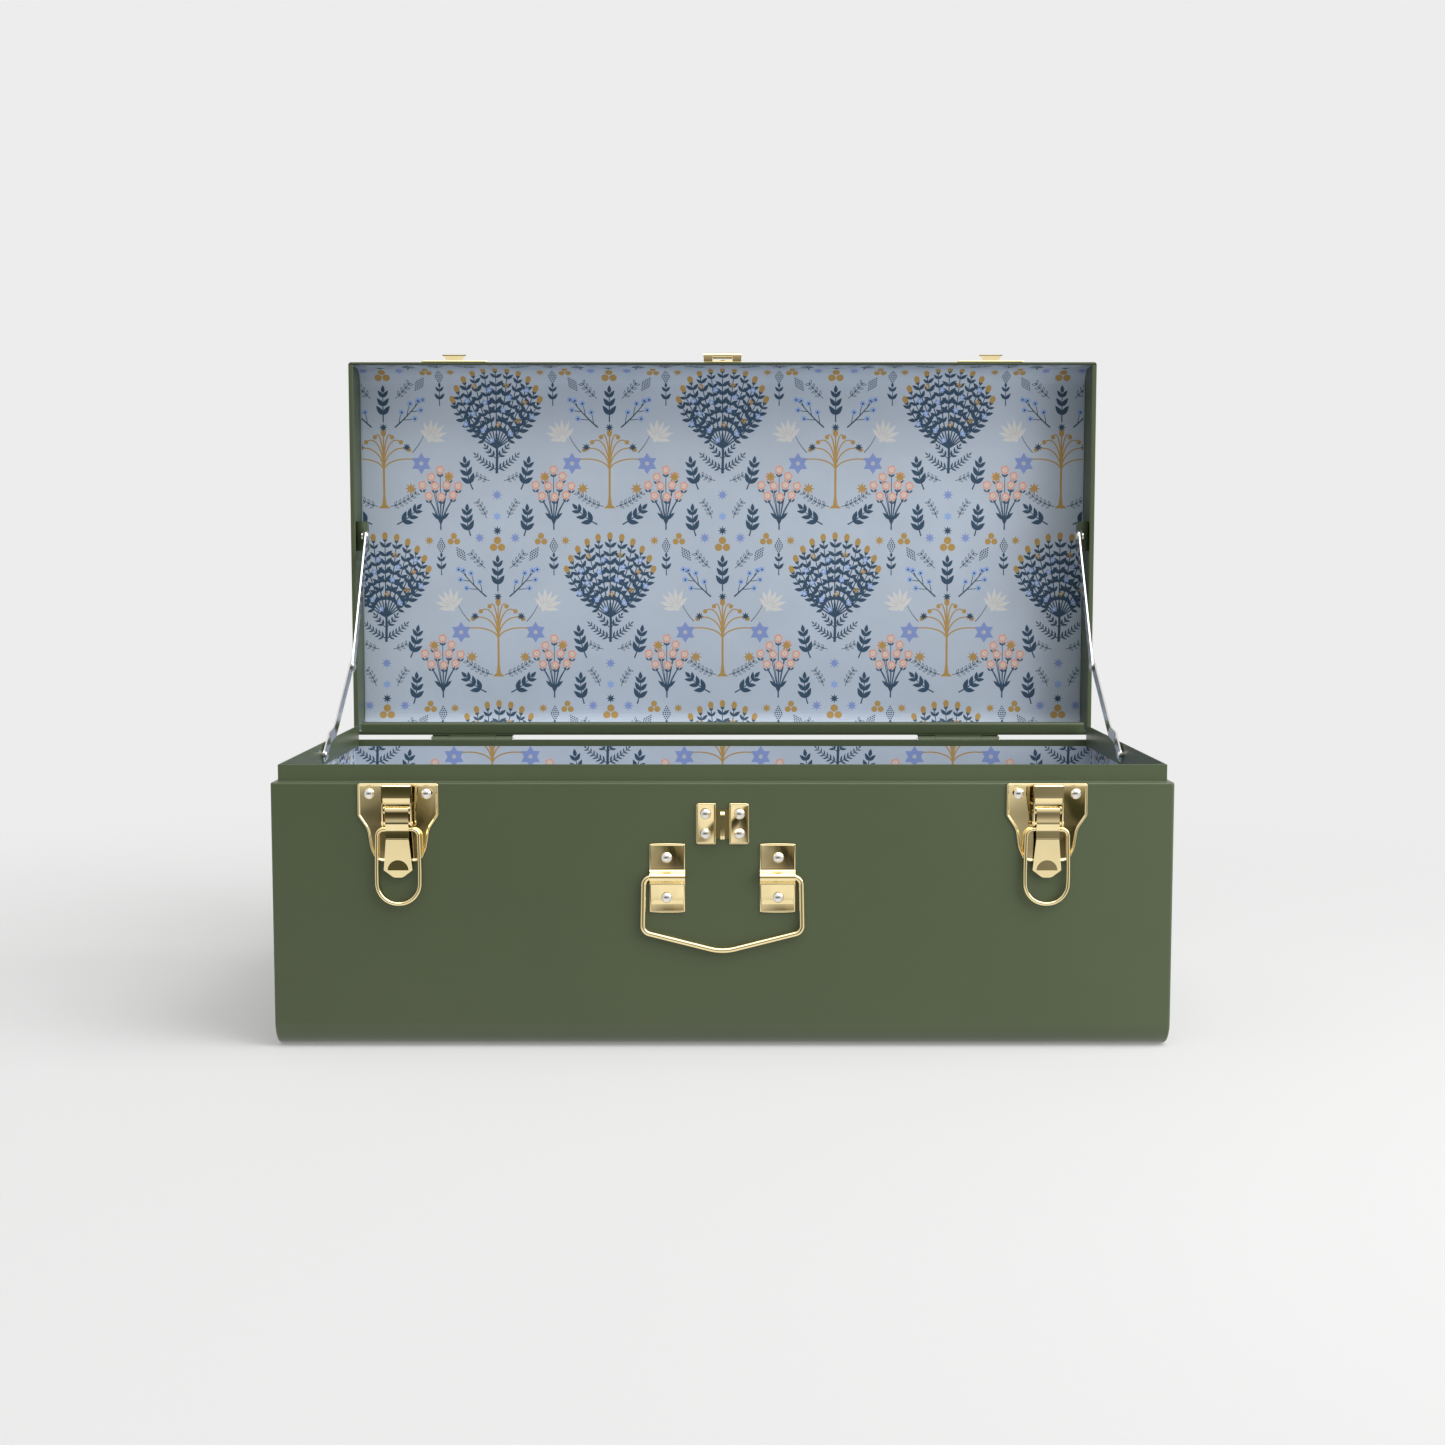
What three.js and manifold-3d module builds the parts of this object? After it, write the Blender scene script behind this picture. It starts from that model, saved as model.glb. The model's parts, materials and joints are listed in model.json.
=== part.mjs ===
// Steel footlocker with its lid standing open: millimetres, +Z up, the front faces -Y.
// The origin is the middle of the underside.
import * as THREE from "three";
import { mergeVertices } from "three/addons/utils/BufferGeometryUtils.js";
import Module from "manifold-3d";

const wasm = await Module();
wasm.setup();

// Driving dimensions
const WIDTH = 812.8;
const DEPTH = 406.4;
const STEP_TOP = 243; // shoulder at the top of the base
const LID_HEIGHT = 63.5;
const SHEET = 1.3; // steel sheet of the shells
const LINING = 0.8; // printed paper glued inside
const GAP = 0.3; // between pieces that touch
const BASE_BEND = 25; // radius of the long bottom edges
const LID_BEND = 22; // radius of the long top edges of the lid
const PLATE = 1.6; // thickness of the small fittings
const RIVET_RADIUS = 4.8;
const RIVET_HEIGHT = 2.6;

// The valance is the strip that stands above the shoulder on the front and the sides
const VALANCE_INSET = 6;
const VALANCE_SHEET = 1.2;
const VALANCE_TOP = 258.8;
const VALANCE_BOTTOM = 236;
const VALANCE_REAR = 200.5;

// Hinges
const HINGE_Y = DEPTH / 2 + 5.9;
const HINGE_Z = 241.3;
const HINGE_LENGTH = 89;
const HINGE_CENTRES = { left: -276, right: 260 };
const KNUCKLE_LENGTH = 19;
const KNUCKLE_RADIUS = 4.6;
const HINGE_BORE = 2.2;
const HINGE_PIN_RADIUS = 1.7;

// Lid, in the place it takes when shut
const LID_RIM = HINGE_Z + 2.2;
const LID_TOP = LID_RIM + LID_HEIGHT;
const RIM_FLANGE = 5;
const RAIL_INNER_Y = DEPTH / 2 - 13.8;
const RAIL_HEIGHT = 10;

// Folding stays: a link on the base and a link on the lid meet at an elbow
const STAY_WIDTH = 13;
const STAY_SHEET = 1.6;
const STAY_LOWER = 152;
const STAY_UPPER = 166;
const STAY_OVERRUN = 11; // the lower link runs on past the elbow as a stop
const STAY_BASE_PIVOT = [0.4, 246.7]; // y, z
const STAY_LID_PIVOT = [221.5, 465.6]; // y, z with the lid open
const STAY_LOWER_X = 392.2; // inner face of the lower link
const STAY_UPPER_X = 390.2; // inner face of the upper link
const STAY_JOGGLE = 3.8; // outward step near the foot of the lower link
const BRACKET_LENGTH = 32;
const PIVOT_SHANK = 2.1;
const PIVOT_HOLE = 2.6;

// Drawbolts and strikes
const LATCH_X = 291.5;
const LEVER_PIVOT = [6.6, 219]; // out from the front face, z
const LINK_PIVOT = [7.3, 206.8];
const RING_PIVOT = [4.3, 201.3];
const LATCH_PIN_RADIUS = 1.2;
const LATCH_HOLE_RADIUS = 1.7;
const RING_WIRE = 1.9;

// Centre staple, hasp and handle
const STAPLE_Z = 205.9;
const HASP_PIVOT = [7.5, 249]; // out from the front face, z with the lid shut
const HANDLE_X = 49.7;
const HANDLE_PIVOT = [3.4, 157.7];
const HANDLE_WIRE = 2.5;

const FRONT = -DEPTH / 2;
const SIDE = WIDTH / 2;
const X = new THREE.Vector3(1, 0, 0);
const Y = new THREE.Vector3(0, 1, 0);
const Z = new THREE.Vector3(0, 0, 1);
const OUT = new THREE.Vector3(0, -1, 0); // out of the front face

const PAINT = { color: 0x555f46, roughness: 0.45, metalness: 0.2 };
const BRASS = { color: 0xd9b866, roughness: 0.15, metalness: 1 };
const NICKEL = { color: 0xc9c9c6, roughness: 0.2, metalness: 1 };
const PAPER = { color: 0xb4c4d8, roughness: 0.9, metalness: 0 };

// ---- shape helpers ----

function arc(cx, cy, radius, fromDegrees, toDegrees, steps) {
  const points = [];
  for (let i = 0; i <= steps; i++) {
    const a = THREE.MathUtils.degToRad(
      fromDegrees + ((toDegrees - fromDegrees) * i) / steps,
    );
    points.push([cx + radius * Math.cos(a), cy + radius * Math.sin(a)]);
  }
  return points;
}

const circle = (cx, cy, radius, steps = 16) =>
  arc(cx, cy, radius, 0, 360 - 360 / steps, steps - 1);

const rectangle = (x0, y0, x1, y1) => [
  [x0, y0],
  [x1, y0],
  [x1, y1],
  [x0, y1],
];

const mirrored = (points) => [
  ...points,
  ...points.map(([a, b]) => [-a, b]).reverse(),
];

function prism(points, holes, length, axes, origin) {
  const toVectors = (list) => list.map(([a, b]) => new THREE.Vector2(a, b));
  const shape = new THREE.Shape(toVectors(points));
  for (const hole of holes) shape.holes.push(new THREE.Path(toVectors(hole)));
  const geometry = new THREE.ExtrudeGeometry(shape, {
    depth: length,
    bevelEnabled: false,
    curveSegments: 1,
  });
  return geometry.applyMatrix4(
    new THREE.Matrix4().makeBasis(...axes).setPosition(origin),
  );
}

// A (y, z) outline run along X
const alongX = (points, x0, x1, holes = []) =>
  prism(points, holes, x1 - x0, [Y, Z, X], new THREE.Vector3(x0, 0, 0));

// An (x, z) outline on the front face, from one distance out of it to another
const onFront = (points, out0, out1, holes = []) =>
  prism(points, holes, out1 - out0, [X, Z, OUT], new THREE.Vector3(0, FRONT - out0, 0));

// An (out, z) outline on the front face, run along X
const acrossFront = (points, x0, x1, holes = []) =>
  alongX(
    points.map(([out, z]) => [FRONT - out, z]).reverse(),
    x0,
    x1,
    holes.map((hole) => hole.map(([out, z]) => [FRONT - out, z])),
  );

const box = (x0, y0, z0, x1, y1, z1) =>
  alongX(rectangle(y0, z0, y1, z1), x0, x1);

// A wire with a mitred ring of points at each bend, so straight stretches stay one step long
function bentWire(points, radius, closed, sides = 10) {
  const path = points.map((p) => new THREE.Vector3(...p));
  const count = path.length;
  const positions = [];
  for (let i = 0; i < count; i++) {
    const before = closed ? path[(i + count - 1) % count] : path[Math.max(i - 1, 0)];
    const after = closed ? path[(i + 1) % count] : path[Math.min(i + 1, count - 1)];
    const incoming = path[i].clone().sub(before);
    const outgoing = after.clone().sub(path[i]);
    if (!incoming.lengthSq()) incoming.copy(outgoing);
    if (!outgoing.lengthSq()) outgoing.copy(incoming);
    const tangent = incoming.normalize().add(outgoing.normalize()).normalize();
    const across = new THREE.Vector3().crossVectors(Y, tangent).normalize();
    const widen = 1 / Math.max(0.5, tangent.dot(outgoing));
    for (let s = 0; s < sides; s++) {
      const a = (2 * Math.PI * s) / sides;
      positions.push(
        path[i]
          .clone()
          .addScaledVector(across, radius * widen * Math.cos(a))
          .addScaledVector(Y, radius * Math.sin(a)),
      );
    }
  }
  const index = [];
  const rings = closed ? count : count - 1;
  for (let i = 0; i < rings; i++)
    for (let s = 0; s < sides; s++) {
      const a = i * sides + s;
      const b = i * sides + ((s + 1) % sides);
      const c = ((i + 1) % count) * sides + s;
      const d = ((i + 1) % count) * sides + ((s + 1) % sides);
      index.push(a, b, c, b, d, c);
    }
  if (!closed)
    for (let s = 1; s < sides - 1; s++) {
      const last = (count - 1) * sides;
      index.push(0, s + 1, s, last, last + s, last + s + 1);
    }
  return new THREE.BufferGeometry().setFromPoints(positions).setIndex(index);
}

// A rivet head, or any turned piece, from (radius, height) points on a turned profile
function turned(profile, centre, towards, sides = 14) {
  const geometry = new THREE.LatheGeometry(
    profile.map(([r, h]) => new THREE.Vector2(r, h)),
    sides,
  );
  const turn = new THREE.Quaternion().setFromUnitVectors(Y, towards);
  return geometry
    .applyQuaternion(turn)
    .translate(centre[0], centre[1], centre[2]);
}

const dome = (radius, height) => [
  [0, 0],
  [radius, 0],
  [radius * 0.93, height * 0.42],
  [radius * 0.66, height * 0.82],
  [radius * 0.3, height * 0.98],
  [0, height],
];

function solid(geometry) {
  const plain = geometry.index ? geometry.toNonIndexed() : geometry.clone();
  plain.deleteAttribute("normal");
  plain.deleteAttribute("uv");
  const merged = mergeVertices(plain, 1e-4);
  return new wasm.Manifold(
    new wasm.Mesh({
      numProp: 3,
      vertProperties: merged.attributes.position.array,
      triVerts: new Uint32Array(merged.index.array),
    }),
  );
}

function fromSolid(made) {
  const mesh = made.getMesh();
  return new THREE.BufferGeometry()
    .setAttribute("position", new THREE.BufferAttribute(mesh.vertProperties, 3))
    .setIndex(new THREE.BufferAttribute(mesh.triVerts, 1));
}

const joined = (...pieces) =>
  fromSolid(pieces.map(solid).reduce((all, piece) => all.add(piece)));

const cut = (piece, ...tools) =>
  fromSolid(tools.map(solid).reduce((left, tool) => left.subtract(tool), solid(piece)));

// ---- scene ----

const footlocker = new THREE.Group();
const base = new THREE.Group();
const lid = new THREE.Group();
const lidHinge = new THREE.Group();
lidHinge.position.set(0, HINGE_Y, HINGE_Z);
lidHinge.rotation.x = -Math.PI / 2;
lid.position.set(0, -HINGE_Y, -HINGE_Z);
lidHinge.add(lid);
footlocker.add(base, lidHinge);

function add(group, name, geometry, look) {
  const mesh = new THREE.Mesh(geometry, new THREE.MeshStandardMaterial(look));
  mesh.name = name;
  group.add(mesh);
}

const SIDES = [
  ["left", -1],
  ["right", 1],
];

// Run from x0 to x1 on the right side, mirrored for the left
const spanX = (sign, x0, x1) => (sign > 0 ? [x0, x1] : [-x1, -x0]);

// ---- base shell ----

// Inside or outside line of the wrap, from the top of the front wall round to the rear wall
const trough = (inset, frontTop, rearTop) => [
  [FRONT + inset, frontTop],
  ...arc(FRONT + BASE_BEND, BASE_BEND, BASE_BEND - inset, 180, 270, 7),
  ...arc(-FRONT - BASE_BEND, BASE_BEND, BASE_BEND - inset, 270, 360, 7),
  [-FRONT - inset, rearTop],
];

const troughSheet = (inset, thickness, frontTop, rearTop) => [
  ...trough(inset, frontTop, rearTop),
  ...trough(inset + thickness, frontTop, rearTop).reverse(),
];

function addBaseShell() {
  const wallTop = STEP_TOP - VALANCE_SHEET - GAP;
  const wrapHalf = SIDE - SHEET - GAP;
  const wrapSheet = troughSheet(0, SHEET, wallTop, STEP_TOP);
  add(base, "base_wrap", alongX(wrapSheet, -wrapHalf, wrapHalf), PAINT);
  const liningTop = VALANCE_BOTTOM - GAP;
  const liningSheet = troughSheet(SHEET + GAP, LINING, liningTop, liningTop);
  const liningHalf = wrapHalf - LINING - GAP;
  add(base, "base_lining", alongX(liningSheet, -liningHalf, liningHalf), PAPER);
  for (const [side, sign] of SIDES) {
    const panel = alongX(trough(0, wallTop, wallTop), ...spanX(sign, SIDE - SHEET, SIDE));
    add(base, `base_end_${side}`, panel, PAINT);
    const inner = trough(SHEET + GAP, liningTop, liningTop);
    const paper = alongX(inner, ...spanX(sign, wrapHalf - LINING, wrapHalf));
    add(base, `base_end_lining_${side}`, paper, PAPER);
  }
}

function addValance() {
  const ledgeBottom = STEP_TOP - VALANCE_SHEET;
  const inner = VALANCE_INSET + VALANCE_SHEET;
  const frontHalf = SIDE - VALANCE_INSET;
  const frontY = FRONT + VALANCE_INSET;
  const frontStrip = joined(
    box(-SIDE, FRONT, ledgeBottom, SIDE, FRONT + inner, STEP_TOP),
    box(-frontHalf, frontY, VALANCE_BOTTOM, frontHalf, FRONT + inner, VALANCE_TOP),
  );
  add(base, "valance_front", frontStrip, PAINT);
  for (const [side, sign] of SIDES) {
    const start = FRONT + inner + GAP;
    const ledgeX = spanX(sign, SIDE - inner, SIDE);
    const lipX = spanX(sign, SIDE - inner, SIDE - VALANCE_INSET);
    const strip = joined(
      box(ledgeX[0], start, ledgeBottom, ledgeX[1], -FRONT - SHEET - GAP, STEP_TOP),
      box(lipX[0], start, VALANCE_BOTTOM, lipX[1], VALANCE_REAR, VALANCE_TOP),
    );
    add(base, `valance_${side}`, strip, PAINT);
  }
}

// ---- lid shell, drawn shut ----

const canopy = (inset, frontRim, rearRim) => [
  [-FRONT - inset, rearRim],
  ...arc(-FRONT - LID_BEND, LID_TOP - LID_BEND, LID_BEND - inset, 0, 90, 7),
  ...arc(FRONT + LID_BEND, LID_TOP - LID_BEND, LID_BEND - inset, 90, 180, 7),
  [FRONT + inset, frontRim],
];

const canopySheet = (inset, thickness, frontRim, rearRim) => [
  ...canopy(inset, frontRim, rearRim),
  ...canopy(inset + thickness, frontRim, rearRim).reverse(),
];

function addLidShell() {
  const wrapHalf = SIDE - SHEET - GAP;
  const hem = SHEET + GAP + LINING;
  const wrap = joined(
    alongX(canopySheet(0, SHEET, LID_RIM, LID_RIM), -wrapHalf, wrapHalf),
    box(-wrapHalf, FRONT + SHEET / 2, LID_RIM, wrapHalf, FRONT + hem, LID_RIM + SHEET),
  );
  add(lid, "lid_wrap", wrap, PAINT);

  const liningRearRim = LID_RIM + RAIL_HEIGHT + GAP;
  const liningSheet = canopySheet(SHEET + GAP, LINING, LID_RIM + SHEET + GAP, liningRearRim);
  add(lid, "lid_lining", alongX(liningSheet, -wrapHalf, wrapHalf), PAPER);

  for (const [side, sign] of SIDES) {
    const [x0, x1] = spanX(sign, SIDE - SHEET, SIDE);
    const [f0, f1] = spanX(sign, SIDE - RIM_FLANGE, SIDE - SHEET / 2);
    const flangeEnd = DEPTH / 2 - hem - GAP;
    const panel = joined(
      alongX(canopy(0, LID_RIM, LID_RIM), x0, x1),
      box(f0, -flangeEnd, LID_RIM, f1, RAIL_INNER_Y - GAP, LID_RIM + SHEET),
    );
    add(lid, `lid_end_${side}`, panel, PAINT);
  }

  const railHalf = SIDE - VALANCE_INSET - VALANCE_SHEET - 0.8;
  const railOuter = -FRONT - SHEET - GAP;
  const round = 3;
  const section = [
    ...arc(railOuter - round / 2, LID_RIM + round / 2, round / 2, 270, 360, 3),
    [railOuter, LID_RIM + RAIL_HEIGHT],
    ...arc(RAIL_INNER_Y + round, LID_RIM + RAIL_HEIGHT - round, round, 90, 180, 4),
    ...arc(RAIL_INNER_Y + round, LID_RIM + round, round, 180, 270, 4),
  ];
  add(lid, "lid_rear_rail", alongX(section, -railHalf, railHalf), PAINT);
}

// ---- hinges ----

// Leaf with its rivet heads and knuckles. up is +1 for the lid's leaf and -1 for the base's.
function hingeLeaf(centre, up, knuckles) {
  const face = -FRONT + GAP;
  const near = HINGE_Z + up * 6;
  const far = HINGE_Z + up * 30;
  const half = HINGE_LENGTH / 2;
  const [low, high] = [Math.min(near, far), Math.max(near, far)];
  const pieces = [box(centre - half, face, low, centre + half, face + PLATE, high)];
  for (const [x0, x1] of knuckles) {
    const ring = circle(HINGE_Y, HINGE_Z, KNUCKLE_RADIUS, 16);
    const neckFrom = HINGE_Z - up * 0.7;
    const neck = [Math.min(neckFrom, near + up), Math.max(neckFrom, near + up)];
    pieces.push(
      alongX(ring, centre + x0, centre + x1),
      box(centre + x0, face, neck[0], centre + x1, face + 2, neck[1]),
    );
  }
  for (const x of [-30, 0, 30]) {
    const at = [centre + x, face + PLATE - 0.4, HINGE_Z + up * 18];
    pieces.push(turned(dome(4, 2.2), at, Y, 10));
  }
  const bore = alongX(circle(HINGE_Y, HINGE_Z, HINGE_BORE, 12), centre - half - 1, centre + half + 1);
  return cut(joined(...pieces), bore);
}

function addHinges() {
  const half = HINGE_LENGTH / 2;
  const slack = GAP / 2;
  const inner = half - KNUCKLE_LENGTH;
  const outerKnuckles = [
    [-half, -inner - slack],
    [inner + slack, half],
  ];
  const middleKnuckle = [[-inner + slack, inner - slack]];
  const pinProfile = [
    [0, -half - 1.6],
    [2.6, -half - 1.6],
    [2.6, -half - GAP],
    [HINGE_PIN_RADIUS, -half - GAP],
    [HINGE_PIN_RADIUS, half + GAP],
    [2.6, half + GAP],
    [2.6, half + 1.6],
    [0, half + 1.6],
  ];
  for (const [side, centre] of Object.entries(HINGE_CENTRES)) {
    add(base, `hinge_base_leaf_${side}`, hingeLeaf(centre, -1, outerKnuckles), PAINT);
    add(lid, `hinge_lid_leaf_${side}`, hingeLeaf(centre, 1, middleKnuckle), PAINT);
    const pin = turned(pinProfile, [centre, HINGE_Y, HINGE_Z], X, 12);
    add(base, `hinge_pin_${side}`, pin, PAINT);
  }
}

// ---- rivets on the front ----

const frontRivet = (x, z, out = GAP + PLATE) =>
  turned(dome(RIVET_RADIUS, RIVET_HEIGHT), [x, FRONT - out - GAP, z], OUT);

// ---- drawbolts ----

function latchPlate(x) {
  const half = mirrored([
    [17, 171.7],
    [19.6, 174],
    [25, 183],
    [27.8, 199],
    [36.4, 213],
    [36.4, 240.6],
    [34.4, 242.5],
  ]);
  const outline = half.map(([a, b]) => [a + x, b]);
  const pieces = [onFront(outline, GAP, GAP + PLATE)];
  const ear = [
    ...arc(LEVER_PIVOT[0], LEVER_PIVOT[1], 2.9, -60, 60, 6),
    [GAP + PLATE - 0.5, LEVER_PIVOT[1] + 5],
    [GAP + PLATE - 0.5, LEVER_PIVOT[1] - 5],
  ];
  const hole = circle(...LEVER_PIVOT, LATCH_HOLE_RADIUS, 10);
  for (const offset of [-11.9, 10.7])
    pieces.push(acrossFront(ear, x + offset, x + offset + 1.2, [hole]));
  return joined(...pieces);
}

function latchLever(x) {
  const sheetIn = LINK_PIVOT[0] - 0.7;
  const tongue = mirrored([
    [10.3, 221],
    [10.3, 192],
    [12.6, 165],
    [8.6, 160.2],
    [4, 157.9],
  ]).map(([a, b]) => [a + x, b]);
  const scoop = arc(x, 162.5, 8.5, 0, 180, 8);
  const sheet = cut(
    onFront(tongue, sheetIn, sheetIn + 1.4),
    onFront(scoop, sheetIn + 0.7, sheetIn + 3),
  );
  const knuckle = (pivot, radius, half) =>
    acrossFront(circle(...pivot, radius, 12), x - half, x + half);
  return joined(
    sheet,
    knuckle(LEVER_PIVOT, 2, 10.3),
    knuckle(LINK_PIVOT, 2.2, 10.3),
    knuckle(LEVER_PIVOT, LATCH_PIN_RADIUS, 12),
    knuckle(LINK_PIVOT, LATCH_PIN_RADIUS, 14),
  );
}

function drawLink(x) {
  const [out, z] = LINK_PIVOT;
  const top = 241.9;
  const arm = [
    ...arc(out, z, 2.5, 180, 360, 8),
    [out + 3.4, 230],
    [out + 3.4, top],
    [out - 1.6, top],
    [out - 1.6, 230],
  ];
  const hole = circle(out, z, LATCH_HOLE_RADIUS, 10);
  return joined(
    acrossFront(arm, x - 13.5, x - 12.3, [hole]),
    acrossFront(arm, x + 12.3, x + 13.5, [hole]),
    onFront(rectangle(x - 13.5, 230, x + 13.5, top), out + 2, out + 3.4),
    onFront(rectangle(x - 13.5, top - 1.4, x + 13.5, top), out - 1.6, out + 3.4),
  );
}

function pullRing(x) {
  const [out, top] = RING_PIVOT;
  const half = 21.3 - RING_WIRE;
  const corner = 6;
  const bottom = 131.7 + RING_WIRE;
  const bowCentre = bottom + half;
  const flat = [
    ...arc(half - corner, top - corner, corner, 90, 0, 4),
    ...arc(0, bowCentre, half, 0, -180, 14),
    ...arc(-half + corner, top - corner, corner, 180, 90, 4),
  ];
  return bentWire(flat.map(([a, z]) => [x + a, FRONT - out, z]), RING_WIRE, true);
}

function addLatches() {
  for (const [side, sign] of SIDES) {
    const x = sign * LATCH_X;
    add(base, `latch_plate_${side}`, latchPlate(x), BRASS);
    add(base, `latch_rivet_${side}_outer`, frontRivet(x + sign * 25.5, 233.2), NICKEL);
    add(base, `latch_rivet_${side}_inner`, frontRivet(x - sign * 25.5, 233.2), NICKEL);
    add(base, `latch_lever_${side}`, latchLever(x), BRASS);
    add(base, `draw_link_${side}`, drawLink(x), BRASS);
    add(base, `pull_ring_${side}`, pullRing(x), BRASS);
    add(lid, `lid_strike_${side}`, lidStrike(x), BRASS);
  }
}

function lidStrike(x) {
  const plate = rectangle(x - 36.1, LID_RIM + 1.3, x + 36.1, LID_RIM + 25);
  const flare = [
    [x - 8.5, FRONT - 1],
    [x - 12.5, FRONT - 8.3],
    [x + 12.5, FRONT - 8.3],
    [x + 8.5, FRONT - 1],
  ];
  const shelf = prism(flare, [], 1.6, [X, Y, Z], new THREE.Vector3(0, 0, LID_RIM + 3));
  const lip = onFront(rectangle(x - 12.5, LID_RIM + 3, x + 12.5, LID_RIM + 9), 6.7, 8.3);
  const heads = [-25, 25].map((a) =>
    turned(dome(4, 1.6), [x + a, FRONT - PLATE, LID_RIM + 13], OUT, 10),
  );
  return joined(onFront(plate, GAP, GAP + PLATE), shelf, lip, ...heads);
}

// ---- centre staple and hasp ----

function staple() {
  const leaf = mirrored([
    [5.9, STAPLE_Z - 13.5],
    [5.9, STAPLE_Z - 18.6],
    [22.4, STAPLE_Z - 18.6],
    [23.9, STAPLE_Z - 17.1],
    [23.9, STAPLE_Z + 17.1],
    [22.4, STAPLE_Z + 18.6],
    [5.9, STAPLE_Z + 18.6],
    [5.9, STAPLE_Z + 13.5],
  ]);
  const fin = [
    [1, STAPLE_Z - 13.5],
    [13.5, STAPLE_Z - 13.5],
    [16.5, STAPLE_Z - 10.5],
    [16.5, STAPLE_Z + 10.5],
    [13.5, STAPLE_Z + 13.5],
    [1, STAPLE_Z + 13.5],
  ];
  const eye = circle(12, STAPLE_Z, 3.2, 14);
  return joined(onFront(leaf, GAP, GAP + PLATE), acrossFront(fin, -2, 2, [eye]));
}

function haspPlate() {
  const [out, z] = HASP_PIVOT;
  const plate = rectangle(-20.4, z - 3, 20.4, z + 22);
  const pieces = [onFront(plate, GAP, GAP + PLATE)];
  for (const [x0, x1] of [
    [-20.4, -11],
    [11, 20.4],
  ]) {
    const knuckle = [
      ...arc(out, z, 3.2, -90, 90, 8),
      [GAP + PLATE - 0.5, z + 3.2],
      [GAP + PLATE - 0.5, z - 3.2],
    ];
    pieces.push(acrossFront(knuckle, x0, x1));
  }
  return cut(joined(...pieces), acrossFront(circle(out, z, 1.7, 10), -21, 21));
}

function haspStrap() {
  const [out, z] = HASP_PIVOT;
  const reach = z - STAPLE_Z;
  const outline = mirrored([
    [15.5, z + reach + 19.5],
    [20.4, z + reach + 15],
    [20.4, z + 5],
    [10.6, z + 5],
    [10.6, z],
  ]);
  const slot = rectangle(-3, z + reach - 15, 3, z + reach + 15);
  return joined(
    onFront(outline, out - 0.9, out + 0.9, [slot]),
    acrossFront(circle(out, z, 3.2, 12), -10.6, 10.6),
    acrossFront(circle(out, z, 1.3, 10), -20, 20),
  );
}

function addStapleAndHasp() {
  add(base, "staple", staple(), BRASS);
  for (const [side, sign] of SIDES)
    for (const [level, dz] of [
      ["lower", -8.9],
      ["upper", 8.9],
    ])
      add(base, `staple_rivet_${side}_${level}`, frontRivet(sign * 15.1, STAPLE_Z + dz), NICKEL);
  add(lid, "hasp_plate", haspPlate(), BRASS);
  add(lid, "hasp_strap", haspStrap(), BRASS);
}

// ---- handle ----

function handleClip(x) {
  const [out, z] = HANDLE_PIVOT;
  const inner = HANDLE_WIRE + 0.5;
  const outer = inner + PLATE;
  const back = GAP;
  const profile = [
    [back, 188.2],
    [back, z + inner + 0.4],
    [out, z + inner],
    ...arc(out, z, inner, 60, -60, 6),
    [out, z - inner],
    [back, z - inner - 0.4],
    [back, 124.9],
    [back + PLATE, 124.9],
    [back + PLATE, z - outer - 2.6],
    ...arc(out, z, outer, -75, 75, 8),
    [back + PLATE, z + outer + 2.6],
    [back + PLATE, 188.2],
  ];
  return acrossFront([...profile].reverse(), x - 16, x + 16);
}

function handleBail() {
  const [out, z] = HANDLE_PIVOT;
  const half = 74.5 - HANDLE_WIRE;
  const shoulder = 111.5;
  const apex = 88.4 + HANDLE_WIRE;
  const slope = THREE.MathUtils.radToDeg(Math.atan2(shoulder - apex, half));
  const top = 5;
  const foot = 9;
  const right = [
    [HANDLE_X - 14, z],
    ...arc(half - top, z - top, top, 90, 0, 4),
    ...arc(half - foot, shoulder + foot * 0.35, foot, 0, -90 + slope, 4),
    ...arc(0, apex + 18, 18, -90 + slope, -90, 2),
  ];
  const all = [...right, ...right.slice(0, -1).reverse().map(([a, b]) => [-a, b])];
  return bentWire(all.map(([a, b]) => [a, FRONT - out, b]), HANDLE_WIRE, false);
}

function addHandle() {
  for (const [side, sign] of SIDES) {
    add(base, `handle_clip_${side}`, handleClip(sign * HANDLE_X), BRASS);
    add(base, `handle_rivet_${side}_upper`, frontRivet(sign * 50.3, 175.2), NICKEL);
    add(base, `handle_rivet_${side}_lower`, frontRivet(sign * 50.3, 138.9), NICKEL);
  }
  add(base, "handle_bail", handleBail(), BRASS);
}

// ---- stays ----

// Where the elbow lies with the lid open: lower link swung up from the base pivot
function elbowPoint() {
  const [by, bz] = STAY_BASE_PIVOT;
  const [ly, lz] = STAY_LID_PIVOT;
  const span = Math.hypot(ly - by, lz - bz);
  const rise = Math.atan2(lz - bz, ly - by);
  const along = (STAY_LOWER ** 2 + span ** 2 - STAY_UPPER ** 2) / (2 * STAY_LOWER * span);
  const swing = rise - Math.acos(along);
  return [by + STAY_LOWER * Math.cos(swing), bz + STAY_LOWER * Math.sin(swing)];
}

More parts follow.
